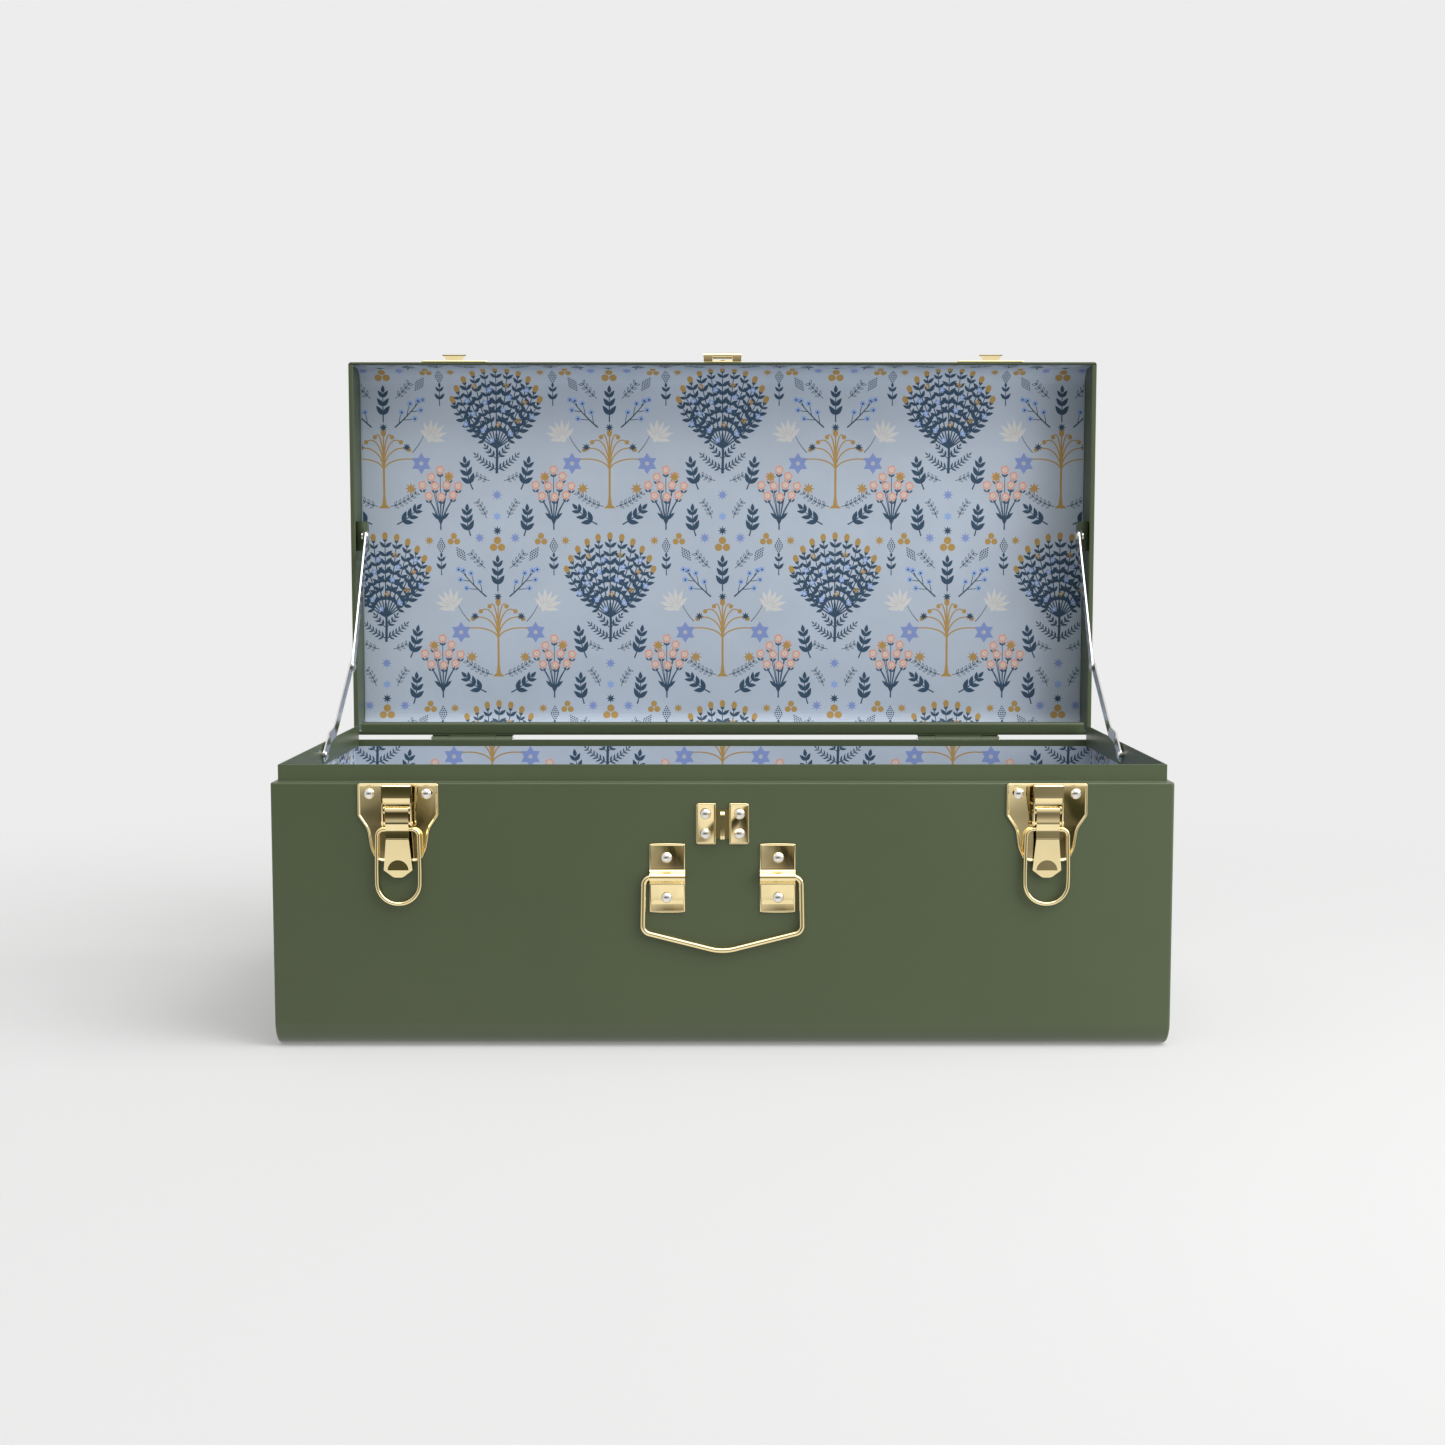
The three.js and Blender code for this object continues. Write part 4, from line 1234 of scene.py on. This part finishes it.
def stroke(points, start, end):
    """A stroke through points that narrows from one width to another."""
    left, right = [], []
    last = len(points) - 1
    for i, (px, py) in enumerate(points):
        (ax, ay), (bx, by) = points[max(i - 1, 0)], points[min(i + 1, last)]
        length = math.hypot(bx - ax, by - ay)
        half = (start + (end - start) * i / last) / 2
        across = ((ay - by) / length * half, (bx - ax) / length * half)
        left.append((px + across[0], py + across[1]))
        right.append((px - across[0], py - across[1]))
    return left + right[::-1]


def star_shape(x, y, points, outer, inner, turn=90.0):
    shape = []
    for k in range(points * 2):
        radius = inner if k % 2 else outer
        angle = math.radians(turn + 180 * k / points)
        shape.append((x + radius * math.cos(angle), y + radius * math.sin(angle)))
    return shape


def curl_line(x, y, angle, length, curl, steps=5):
    """Points of a gently curling line from a point, in a direction in degrees."""
    points = [(x, y)]
    for k in range(steps):
        heading = math.radians(angle + curl * (k + 0.5) / steps)
        x += length / steps * math.cos(heading)
        y += length / steps * math.sin(heading)
        points.append((x, y))
    return points


def leaf_places(line, angle, curl, shares):
    """Points at shares of a curling line, each with the line's heading there."""
    count = len(line) - 1
    places = []
    for share in shares:
        place = share * count
        i = min(int(place), count - 1)
        t = place - i
        (ax, ay), (bx, by) = line[i], line[i + 1]
        heading = angle + curl * place / count
        places.append((ax * (1 - t) + bx * t, ay * (1 - t) + by * t, heading))
    return places


class Print:
    """Shapes of half a repeat in millimetres, each with its ink, the last on top."""

    def __init__(self):
        self.shapes = []

    def put(self, ink, shape):
        self.shapes.append((INK_ORDER.index(ink), anticlockwise(shape)))

    def dot(self, ink, x, y, radius, steps=12):
        self.put(ink, circle(x, y, radius, steps))

    def stem(self, ink, line, start, end):
        self.put(ink, stroke(line, start, end))

    def sprig(self, ink, x, y, angle, length, leaf, pairs, curl=0, stem=1.0, lean=42, slim=0.36):
        """A stem with pairs of leaves and one at its tip."""
        line = curl_line(x, y, angle, length, curl, 6)
        self.stem(ink, line, stem, stem * 0.5)
        shares = [(k + 0.8) / (pairs + 0.3) for k in range(pairs)]
        for k, (px, py, heading) in enumerate(leaf_places(line, angle, curl, shares)):
            size = leaf * (1 - 0.35 * k / pairs)
            for side in (-1, 1):
                self.put(ink, leaf_shape(px, py, heading + side * lean, size, size * slim))
        self.put(ink, leaf_shape(*line[-1], angle + curl, leaf * 0.7, leaf * slim * 0.8))

    def open_sprig(self, x, y, angle, length, leaf, pairs, curl=0, lean=50):
        """A stem of leaves drawn in outline, with the ground inside."""
        line = curl_line(x, y, angle, length, curl, 6)
        self.stem("navy", line, 0.8, 0.5)
        shares = [(k + 0.9) / (pairs + 0.4) for k in range(pairs)]
        for px, py, heading in leaf_places(line, angle, curl, shares):
            for side in (-1, 1):
                bearing = heading + side * lean
                c, s = math.cos(math.radians(bearing)), math.sin(math.radians(bearing))
                self.put("navy", leaf_shape(px, py, bearing, leaf, leaf * 0.46))
                inside = leaf_shape(px + 0.9 * c, py + 0.9 * s, bearing, leaf - 1.9, leaf * 0.25)
                self.put("ground", inside)

    def berry_branch(self, x, y, angle, side):
        """A forked twig with blue berries that have dark centres."""
        main = curl_line(x, y, angle, 38, side * 12, 6)
        self.stem("navy", main, 1.7, 0.9)
        twigs = ((1, 46, 13), (2, -42, 13), (3, 44, 14), (4, -38, 11), (5, 30, 8), (6, -6, 6))
        for at, lean, length in twigs:
            start = main[at]
            line = curl_line(*start, angle + side * lean, length, -side * lean * 0.35, 3)
            self.stem("navy", line, 0.9, 0.7)
            bx, by = line[-1]
            self.dot("sky", bx, by, 3.2)
            self.dot("dark", bx + 0.2, by - 0.2, 1.1, 8)

    def blossom(self, x, y, radius):
        petals = []
        for k in range(15):
            angle = 2 * math.pi * k / 15
            reach = radius * (1 + 0.13 * math.cos(5 * angle))
            petals.append((x + reach * math.cos(angle), y + reach * math.sin(angle)))
        self.put("peach", petals)
        self.dot("blush", x, y, radius * 0.60, 10)
        self.dot("cream", x, y, radius * 0.34, 8)
        self.dot("gold", x, y, radius * 0.15, 6)

    def blossom_bush(self, x, y):
        """Peach blossoms on a fan of navy stems."""
        heads = [(0, 31), (-10, 23), (10, 24), (-20, 14), (-6, 13), (7, 14), (20, 13)]
        heads += [(-13, 2), (1, 1), (14, 3)]
        foot = y - 30
        self.stem("navy", [(x, foot - 6), (x, foot + 12)], 1.7, 1.3)
        for hx, hy in heads:
            line = [(x, foot), (x + hx * 0.4, foot + 15 + hy * 0.25), (x + hx, y + hy - 3)]
            self.stem("navy", line, 1.1, 0.7)
            for side in (-1, 1):
                self.put("navy", leaf_shape(x + hx, y + hy - 8, 90 + side * 48, 5.4, 2.0))
        for lean in (-50, 50):
            self.put("navy", leaf_shape(x, foot + 5, 90 + lean, 13, 4.2))
        for hx, hy in heads:
            self.blossom(x + hx, y + hy, 4.9)

    def dotted_leaf(self, x, y, angle):
        """A leaf made of rows of small dots."""
        c, s = math.cos(math.radians(angle)), math.sin(math.radians(angle))
        for row, count in enumerate((1, 2, 3, 4, 4, 3, 2, 1)):
            for k in range(count):
                u, v = (row - 3.5) * 2.3, (k - (count - 1) / 2) * 2.5
                self.dot("navy", x + u * c - v * s, y + u * s + v * c, 0.95, 6)

    def fountain(self, x, y):
        """A gold flower: arching arms with a bead at each tip, on one stem with a splayed foot."""
        crown = y - 4
        self.put("gold", [
            (x - 7, y - 46), (x + 7, y - 46), (x + 2.4, y - 42), (x + 1.2, y - 32), (x + 1.2, crown),
            (x - 1.2, crown), (x - 1.2, y - 32), (x - 2.4, y - 42),
        ])
        for side in (-1, 1):
            for reach, rise, drop in ((9, 40, 4), (19, 34, 10), (28, 25, 16), (35, 13, 20)):
                line = [
                    (x + side * reach * (1 - math.cos(t)) / 1.35, crown + rise * math.sin(t))
                    for t in (math.radians(8 + 102 * k / 10) for k in range(11))
                ]
                line = [(x, crown - drop * 0.5)] + line
                self.stem("gold", line, 1.7, 1.3)
                tip = line[-1]
                self.dot("gold", tip[0] + side * 0.6, tip[1] - 0.4, 2.5, 12)
        self.stem("gold", [(x, crown - 1), (x, y + 36)], 2.2, 1.4)
        self.put("gold", leaf_shape(x, y + 33, 90, 11, 6.0, 7))

    def lily(self, x, y, side):
        """A pale open flower of long petals on a bent stalk."""
        line = curl_line(x - side * 20, y - 16, 45 if side > 0 else 135, 24, side * 22, 6)
        self.stem("navy", line, 0.9, 0.6)
        heading = 90 - side * 26
        for lean, length in ((-74, 17), (-46, 21), (-22, 22), (0, 21), (22, 22), (46, 20), (72, 15)):
            self.put("cream", leaf_shape(x, y, heading + lean, length, 6.2, 6, 0.62))
        for lean in (-60, -34, -11, 11, 34, 58):
            bearing = math.radians(heading + lean)
            start = (x + 4 * math.cos(bearing), y + 4 * math.sin(bearing))
            end = (x + 13 * math.cos(bearing), y + 13 * math.sin(bearing))
            self.stem("mist", [start, end], 0.7, 0.35)
        self.put("cream", leaf_shape(x - 5 * math.cos(math.radians(heading)),
                                     y - 5 * math.sin(math.radians(heading)), heading, 11, 6.5, 6))

    def trio(self, x, y, radius, turn=90):
        for k in range(3):
            angle = math.radians(turn + 120 * k)
            reach = radius * 1.22
            self.dot("gold", x + reach * math.cos(angle), y + reach * math.sin(angle), radius, 14)

    def bouquet(self, x, y):
        """A round bush of leafy stems that fan out of one trunk, with gold buds at their tips."""
        rng = random.Random(11)
        self.stem("navy", [(x, y - 74), (x + 0.6, y - 52), (x, y - 30)], 3.0, 2.4)
        for side in (-1, 1):
            self.sprig("navy", x, y - 70, 90 + side * 66, 28, 7, 6, -side * 22, 1.2, 50, 0.3)
            self.sprig("navy", x, y - 58, 90 + side * 48, 18, 7, 3, -side * 14, 1.0)
        for column in range(-5, 6):
            spread = column / 5
            angle = 90 - spread * 62
            length = 88 - 17 * spread * spread
            line = curl_line(x, y - 46, angle, length, spread * 38, 9)
            self.stem("navy", line, 1.6, 0.9)
            for i in range(2, 9):
                px, py = line[i]
                heading = angle + spread * 38 * i / 9
                size = 6.6 + 3.6 * math.sin(math.pi * i / 10)
                for side in (-1, 1):
                    if i < 4 and abs(spread) < 0.5 and rng.random() < 0.4:
                        continue
                    lean = side * rng.uniform(34, 58)
                    reach = size * rng.uniform(0.8, 1.15)
                    self.put("navy", leaf_shape(px, py, heading + lean, reach, reach * 0.42))
            tx, ty = line[-1]
            heading = math.radians(angle + spread * 38)
            cx, cy = tx + 3.2 * math.cos(heading), ty + 3.2 * math.sin(heading)
            self.put("navy", leaf_shape(tx - 4 * math.cos(heading), ty - 4 * math.sin(heading),
                                        math.degrees(heading), 9, 4.6))
            bud = []
            for k in range(14):
                a = 2 * math.pi * k / 14
                u, v = 4.2 * math.cos(a), 3.1 * math.sin(a)
                bud.append((cx + u * math.cos(heading) - v * math.sin(heading),
                            cy + u * math.sin(heading) + v * math.cos(heading)))
            self.put("gold", bud)
        for k in range(17):
            angle = k * 2.4
            reach = 7 + 8.2 * math.sqrt(k)
            bx = x + reach * math.cos(angle) * 1.12
            by = y - 4 + reach * math.sin(angle) * 0.86
            if k % 3 == 2:
                for turn in range(4):
                    a = 1.57 * turn
                    self.dot("gold", bx + 1.9 * math.cos(a), by + 1.9 * math.sin(a), 1.3, 7)
            else:
                self.put("sky", star_shape(bx, by, 5, 3.8, 2.3, 90 + 20 * k))
                self.dot("cream", bx, by, 0.9, 6)


def draw_repeat():
    """Half of the repeat: the other half is the same, moved half a width and half a height."""
    art = Print()
    art.bouquet(0, -106)
    art.fountain(0, 16)
    for side in (-1, 1):
        art.open_sprig(side * 7, -28, 90 - side * 78, 34, 6.0, 6, side * 34)
        art.sprig("navy", side * 14, -48, 90 - side * 64, 28, 13, 3, side * 22, 1.6, 38, 0.42)
        art.blossom_bush(side * 63, -18)
        art.put("periwinkle", star_shape(side * 42, 20, 6, 12, 7.2, 90))
        art.dot("mist", side * 42, 20, 2.4, 10)
        art.put("gold", star_shape(side * 30, -8, 8, 7.0, 3.2))
        art.berry_branch(side * 13, 60, 90 - side * 50, side)
        art.lily(side * 52, 48, side)
        art.open_sprig(side * 14, 92, 90 - side * 48, 24, 6.0, 4, side * 10)
        art.put("navy", star_shape(side * 26, 38, 8, 5.0, 2.2))
        art.put("periwinkle", star_shape(side * 20, 126, 8, 6.2, 2.8))
        art.trio(side * 49, 124, 3.4)
        art.dotted_leaf(side * 41, 108, 90 - side * 34)
        art.sprig("navy", side * 30, 128, 90 - side * 18, 28, 13, 3, side * 20, 1.6, 38, 0.42)
        art.sprig("navy", side * 63.25, 84, 90, 20, 9, 2, 0, 1.2, 40, 0.4)
        art.open_sprig(side * 12, 148, 90 - side * 16, 22, 5.4, 4, -side * 26)
        art.dotted_leaf(side * 63.25, -72, 90)
        art.put("gold", star_shape(side * 50, -66, 8, 5.4, 2.5))
    art.sprig("navy", 0, 66, 90, 32, 13, 3, 0, 1.5, 36, 0.42)
    for side in (-1, 1):
        art.sprig("navy", side * 27, -198, 90 - side * 24, 30, 13, 3, side * 16, 1.6, 38, 0.42)
        art.open_sprig(side * 8, -188, 90 - side * 80, 17, 5.2, 3, side * 24)
        art.put("gold", star_shape(side * 54, -184, 8, 6.4, 3.0))
    art.put("periwinkle", star_shape(0, -204, 8, 6.4, 2.8))
    art.trio(0, 118, 4.2)
    art.put("navy", star_shape(0, 60, 8, 5.0, 2.2))
    art.put("navy", star_shape(0, 134, 8, 5.4, 2.4))
    art.put("sky", star_shape(0, 150, 6, 5.0, 3.0))
    return art.shapes


def cut_repeat():
    """Triangles of one whole repeat, and the ink of each."""
    width, height = REPEAT_WIDTH / MM, REPEAT_HEIGHT / MM
    verts = [Vector(p) for p in ((0, 0), (width, 0), (width, height), (0, height))]
    faces, inks = [[0, 1, 2, 3]], [0]
    moves = [
        (shift * width / 2 + column * width, shift * height / 2 + row * height)
        for shift in (0, 1)
        for column in (-1, 0, 1)
        for row in (-1, 0, 1)
    ]
    for ink, shape in draw_repeat():
        for dx, dy in moves:
            us = [u + dx for u, _ in shape]
            vs = [v + dy for _, v in shape]
            if max(us) <= 0 or min(us) >= width or max(vs) <= 0 or min(vs) >= height:
                continue
            start = len(verts)
            verts += [Vector(p) for p in zip(us, vs)]
            faces.append(list(range(start, len(verts))))
            inks.append(ink)
    points, _, cells, _, _, sources = delaunay_2d_cdt(verts, [], faces, 0, 1e-4, True)
    triangles, shades = [], []
    for cell, source in zip(cells, sources):
        if 0 in source:
            triangles.append(tuple(cell))
            shades.append(inks[max(source)])
    return [tuple(p) for p in points], triangles, shades


def split_polygon(polygon, axis, at):
    """The parts of a convex polygon on each side of a line."""
    low, high = [], []
    for i, p in enumerate(polygon):
        q = polygon[(i + 1) % len(polygon)]
        if p[axis] <= at:
            low.append(p)
        if p[axis] >= at:
            high.append(p)
        if (p[axis] - at) * (q[axis] - at) < 0:
            t = (at - p[axis]) / (q[axis] - p[axis])
            cut = [p[0] + (q[0] - p[0]) * t, p[1] + (q[1] - p[1]) * t]
            cut[axis] = at
            low.append(tuple(cut))
            high.append(tuple(cut))
    return low, high


def trimmed(polygons, axis, lines):
    """Polygons split on every line, with what lies outside the first and last dropped."""
    kept = []
    for ink, polygon in polygons:
        pieces = [polygon]
        low, high = min(p[axis] for p in polygon), max(p[axis] for p in polygon)
        if high <= lines[0] or low >= lines[-1]:
            continue
        for at in lines:
            if low < at < high:
                pieces = [
                    part
                    for piece in pieces
                    for part in split_polygon(piece, axis, at)
                    if len(part) > 2
                ]
        for piece in pieces:
            middle = sum(p[axis] for p in piece) / len(piece)
            if lines[0] < middle < lines[-1]:
                kept.append((ink, piece))
    return kept


def within(polygons, outline):
    """Polygons cut to a convex anticlockwise outline."""
    kept = []
    for ink, polygon in polygons:
        for a, b in zip(outline, outline[1:] + outline[:1]):
            along = (b[0] - a[0], b[1] - a[1])
            depths = [along[0] * (p[1] - a[1]) - along[1] * (p[0] - a[0]) for p in polygon]
            if min(depths) >= 0:
                continue
            cut = []
            for i, p in enumerate(polygon):
                j = (i + 1) % len(polygon)
                if depths[i] >= 0:
                    cut.append(p)
                if depths[i] * depths[j] < 0:
                    t = depths[i] / (depths[i] - depths[j])
                    q = polygon[j]
                    cut.append((p[0] + (q[0] - p[0]) * t, p[1] + (q[1] - p[1]) * t))
            polygon = cut
            if len(polygon) < 3:
                break
        if len(polygon) > 2:
            kept.append((ink, polygon))
    return kept


def make_print(name, repeat, line, width, place, start, body, outline=None):
    """Printed paper over a line of (depth, height) points, which it follows bend by bend."""
    points, triangles, shades = repeat
    lengths = [0.0]
    for a, b in zip(line, line[1:]):
        lengths.append(lengths[-1] + math.dist(a, b) / MM)
    total, across = lengths[-1], width / MM
    tile_w, tile_h = REPEAT_WIDTH / MM, REPEAT_HEIGHT / MM
    first, last = (-across / 2 - start[0]) / tile_w, (across / 2 - start[0]) / tile_w
    columns = range(math.floor(first), math.ceil(last))
    rows = range(math.floor(-start[1] / tile_h), math.ceil((total - start[1]) / tile_h))
    polygons = []
    for column in columns:
        for row in rows:
            dx, dy = start[0] + column * tile_w, start[1] + row * tile_h
            for triangle, ink in zip(triangles, shades):
                shape = [(points[i][0] + dx, points[i][1] + dy) for i in triangle]
                polygons.append((ink, shape))
    polygons = trimmed(polygons, 0, [-across / 2, across / 2])
    polygons = trimmed(polygons, 1, lengths)
    if outline:
        polygons = within(polygons, outline)
    known, verts, faces, inks = {}, [], [], []
    for ink, polygon in polygons:
        face = []
        for u, v in polygon:
            key = (round(u, 3), round(v, 3))
            if key not in known:
                known[key] = len(verts)
                i = min(max(int(np.searchsorted(lengths, v) - 1), 0), len(line) - 2)
                t = (v - lengths[i]) / (lengths[i + 1] - lengths[i])
                y = line[i][0] + (line[i + 1][0] - line[i][0]) * t
                z = line[i][1] + (line[i + 1][1] - line[i][1]) * t
                verts.append(place(u * MM, y, z))
            if not face or known[key] != face[-1]:
                face.append(known[key])
        if face and face[0] == face[-1]:
            face.pop()
        if len(face) > 2:
            faces.append(face)
            inks.append(ink)
    mesh = bpy.data.meshes.new(name)
    mesh.from_pydata([tuple(v) for v in verts], [], faces)
    for ink in INK_ORDER:
        mesh.materials.append(PAPERS[ink])
    mesh.polygons.foreach_set("material_index", inks)
    mesh.validate()
    piece = bpy.data.objects.new(name, mesh)
    bpy.context.scene.collection.objects.link(piece)
    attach(piece, body)
    return piece


def make_lining():
    repeat = cut_repeat()
    lift = 2.8 * MM  # how far the paper's face stands in from the outside of the shell
    top = VALANCE_BOTTOM - 0.3 * MM
    half = HALF_WIDTH - lift
    line = trough(lift, top, 8)
    make_print(
        "base_lining_print", repeat, line, half * 2, lambda u, y, z: Vector((u, y, z)),
        (0, 60), "base",
    )
    edge = [(y / MM, (z - lift) / MM) for y, z in line]
    for side, sign in SIDES:
        rise = [(0, lift), (0, top)]

        def on_end(u, y, z, sign=sign):
            return Vector((sign * half, -sign * u, z))

        make_print(
            f"base_end_lining_print_{side}", repeat, rise, (HALF_DEPTH - lift) * 2, on_end,
            (0, 120), "base", edge,
        )
    rail = LID_RIM + 10.3 * MM
    line = canopy(lift, LID_RIM + 6.4 * MM, rail, 8)

    def in_lid(u, y, z):
        return OPENED @ Vector((u, y, z))

    make_print("lid_lining_print", repeat, line, half * 2, in_lid, (0, 130), "lid")


def paper_the_boards():
    """The plain ground of the paper, on the nodes that lie under the printed sheets."""
    for name in ("base_lining", "base_end_lining_left", "base_end_lining_right", "lid_lining"):
        for held in frame["nodes"][name].material_slots:
            held.link = "OBJECT"
            held.material = PAPERS["ground"]


# ---- stage ----


def make_camera():
    camera = bpy.data.objects.new("camera", bpy.data.cameras.new("camera"))
    bpy.context.scene.collection.objects.link(camera)
    camera.data.lens = 50
    camera.data.sensor_width = 36
    camera.location = CAMERA_PLACE
    camera.rotation_euler = (math.radians(CAMERA_TILT), 0, 0)
    camera.data.clip_start = 0.05
    camera.data.clip_end = 60
    bpy.context.scene.camera = camera


def make_floor():
    """A wide pale floor that turns into an evenly lit backdrop away from the trunk."""
    material = bpy.data.materials.new("studio_floor")
    material.use_nodes = True
    tree = Nodes(material.node_tree)
    link = material.node_tree.links.new
    shader = material.node_tree.nodes["Principled BSDF"]
    shader.inputs["Base Color"].default_value = (*[FLOOR_PAINT] * 3, 1)
    shader.inputs["Roughness"].default_value = 0.9
    shader.inputs["Specular IOR Level"].default_value = 0.0
    shader.inputs["Emission Color"].default_value = (1, 1, 1, 1)
    shader.inputs["Emission Strength"].default_value = FLOOR_FILL
    even = tree.new("ShaderNodeEmission", {"Color": (*[BACKDROP] * 3, 1)})
    place = tree.new("ShaderNodeTexCoord").outputs["Object"]
    far = tree.new("ShaderNodeVectorMath", operation="LENGTH")
    link(place, far.inputs[0])
    fade = tree.new(
        "ShaderNodeMapRange",
        {"Value": far.outputs["Value"], "From Min": 0.75, "From Max": 1.9},
        interpolation_type="SMOOTHSTEP",
    )
    blend = tree.new("ShaderNodeMixShader")
    link(fade.outputs["Result"], blend.inputs["Fac"])
    link(shader.outputs["BSDF"], blend.inputs[1])
    link(even.outputs["Emission"], blend.inputs[2])
    link(blend.outputs["Shader"], material.node_tree.nodes["Material Output"].inputs["Surface"])
    add_round_stage("studio_floor", [(0.001, 0), (1, 0), (4, 0), (STAGE_REACH, 0)], material)
    backdrop = bpy.data.materials.new("studio_backdrop")
    backdrop.use_nodes = True
    tree = Nodes(backdrop.node_tree)
    even = tree.new("ShaderNodeEmission", {"Color": (*[BACKDROP] * 3, 1)})
    output = backdrop.node_tree.nodes["Material Output"]
    backdrop.node_tree.links.new(even.outputs["Emission"], output.inputs["Surface"])
    profile = [(STAGE_REACH - 4, 0.002)] + arc(STAGE_REACH - 4, 4, 4, 270, 360, 12)[1:]
    profile += [(STAGE_REACH, 12), (STAGE_REACH * 0.6, 17), (0.001, 19)]
    wall = add_round_stage("studio_backdrop", profile, backdrop)
    wall.visible_diffuse = wall.visible_shadow = False


def add_round_stage(name, profile, material):
    """A surface of revolution round the trunk that neither metal nor paint reflects."""
    sides = 96
    verts = []
    for radius, height in profile:
        for k in range(sides):
            angle = 2 * math.pi * k / sides
            verts.append((radius * math.cos(angle), radius * math.sin(angle), height))
    faces = [
        (r * sides + k, r * sides + (k + 1) % sides, (r + 1) * sides + (k + 1) % sides,
         (r + 1) * sides + k)
        for r in range(len(profile) - 1)
        for k in range(sides)
    ]
    mesh = bpy.data.meshes.new(name)
    mesh.from_pydata(verts, [], [face[::-1] for face in faces])
    mesh.materials.append(material)
    mesh.polygons.foreach_set("use_smooth", [True] * len(mesh.polygons))
    stage = bpy.data.objects.new(name, mesh)
    bpy.context.scene.collection.objects.link(stage)
    stage.visible_glossy = False
    return stage


def make_lights():
    for name, power, spread, towards in (
        ("key_light", KEY_POWER, 55, (-0.85, 0.28, -0.80)),
        ("top_light", TOP_POWER, 50, (-0.10, 0.42, -1.0)),
    ):
        sun = bpy.data.lights.new(name, "SUN")
        sun.energy = power
        sun.angle = math.radians(spread)
        light = bpy.data.objects.new(name, sun)
        light.rotation_euler = Vector(towards).to_track_quat("-Z", "Y").to_euler()
        bpy.context.scene.collection.objects.link(light)
    side = bpy.data.lights.new("side_softbox", "AREA")
    side.shape, side.size, side.energy = "SQUARE", 0.9, SIDE_POWER
    light = bpy.data.objects.new("side_softbox", side)
    light.location = (1.5, -1.0, 0.55)
    light.rotation_euler = Vector((-1.2, 0.9, -0.35)).to_track_quat("-Z", "Y").to_euler()
    light.visible_glossy = False
    bpy.context.scene.collection.objects.link(light)
    world = bpy.data.worlds.new("studio")
    bpy.context.scene.world = world
    world.use_nodes = True
    tree = Nodes(world.node_tree)
    link = world.node_tree.links.new
    background = world.node_tree.nodes["Background"]
    direction = tree.new("ShaderNodeTexCoord").outputs["Generated"]
    parts = tree.new("ShaderNodeSeparateXYZ", {"Vector": direction}).outputs
    stripes = tree.new("ShaderNodeValToRGB", {"Fac": tree.ramp(parts["Z"], -1.0, 1.0)})
    bands = stripes.color_ramp
    bands.elements[0].position, bands.elements[0].color = 0.0, (0.95, 0.95, 0.95, 1)
    bands.elements[1].position, bands.elements[1].color = 1.0, (1.0, 1.0, 1.0, 1)
    for height, tone in (
        (-0.34, (0.92, 0.92, 0.90)),
        (-0.215, (0.30, 0.28, 0.24)),
        (-0.17, (0.060, 0.062, 0.035)),
        (0.0, (0.035, 0.036, 0.018)),
        (0.12, (0.11, 0.10, 0.08)),
        (0.30, (0.60, 0.60, 0.60)),
        (0.62, (1.0, 1.0, 1.0)),
    ):
        bands.elements.new((height + 1) / 2).color = (*tone, 1)
    patches = tree.noise(direction, 2.6, 3.0, 0.55)
    tint = tree.new("ShaderNodeValToRGB", {"Fac": patches})
    tint.color_ramp.elements[0].position, tint.color_ramp.elements[1].position = 0.38, 0.66
    tint.color_ramp.elements[0].color = (0.0, 0.0, 0.0, 1)
    tint.color_ramp.elements[1].color = (0.16, 0.13, 0.09, 1)
    grove = tree.mix(1.0, stripes.outputs["Color"], tint.outputs["Color"], "ADD")
    aside = tree.math("ABSOLUTE", parts["X"])
    rightward = tree.math("MULTIPLY", tree.ramp(parts["X"], -0.05, 0.6), 0.5)
    open_side = tree.math("ADD", tree.ramp(aside, 0.45, 0.95), rightward, clamp=True)
    behind = tree.ramp(parts["Y"], -0.1, 0.5)
    around = tree.math("MAXIMUM", open_side, behind)
    studio = tree.mix(around, grove, (0.85, 0.85, 0.84, 1))
    link(studio, background.inputs["Color"])
    softened = tree.new("ShaderNodeLightPath").outputs["Is Diffuse Ray"]
    dimmed = tree.math("MULTIPLY", softened, GLOSS_POWER - ROOM_POWER)
    link(tree.math("SUBTRACT", GLOSS_POWER, dimmed), background.inputs["Strength"])


def make_everything():
    make_base_shell()
    make_valance()
    make_lid_shell()
    make_rear_rail()
    make_hinges()
    make_rivets()
    for side, _ in SIDES:
        x = JOINTS[f"latch_lever_{side}_lift"]["pos_m"][0]
        make_latch_plate(side, x)
        make_latch_lever(side, x)
        make_draw_link(side, x)
        make_pull_ring(side, x)
        make_strike(side, x)
        make_handle_clip(side)
    make_staple()
    make_hasp()
    make_bail()
    make_stays()
    make_lining()
    paper_the_boards()


make_camera()
make_floor()
make_lights()
make_everything()
bpy.context.scene.view_settings.view_transform = "Standard"

bpy.context.view_layer.update()
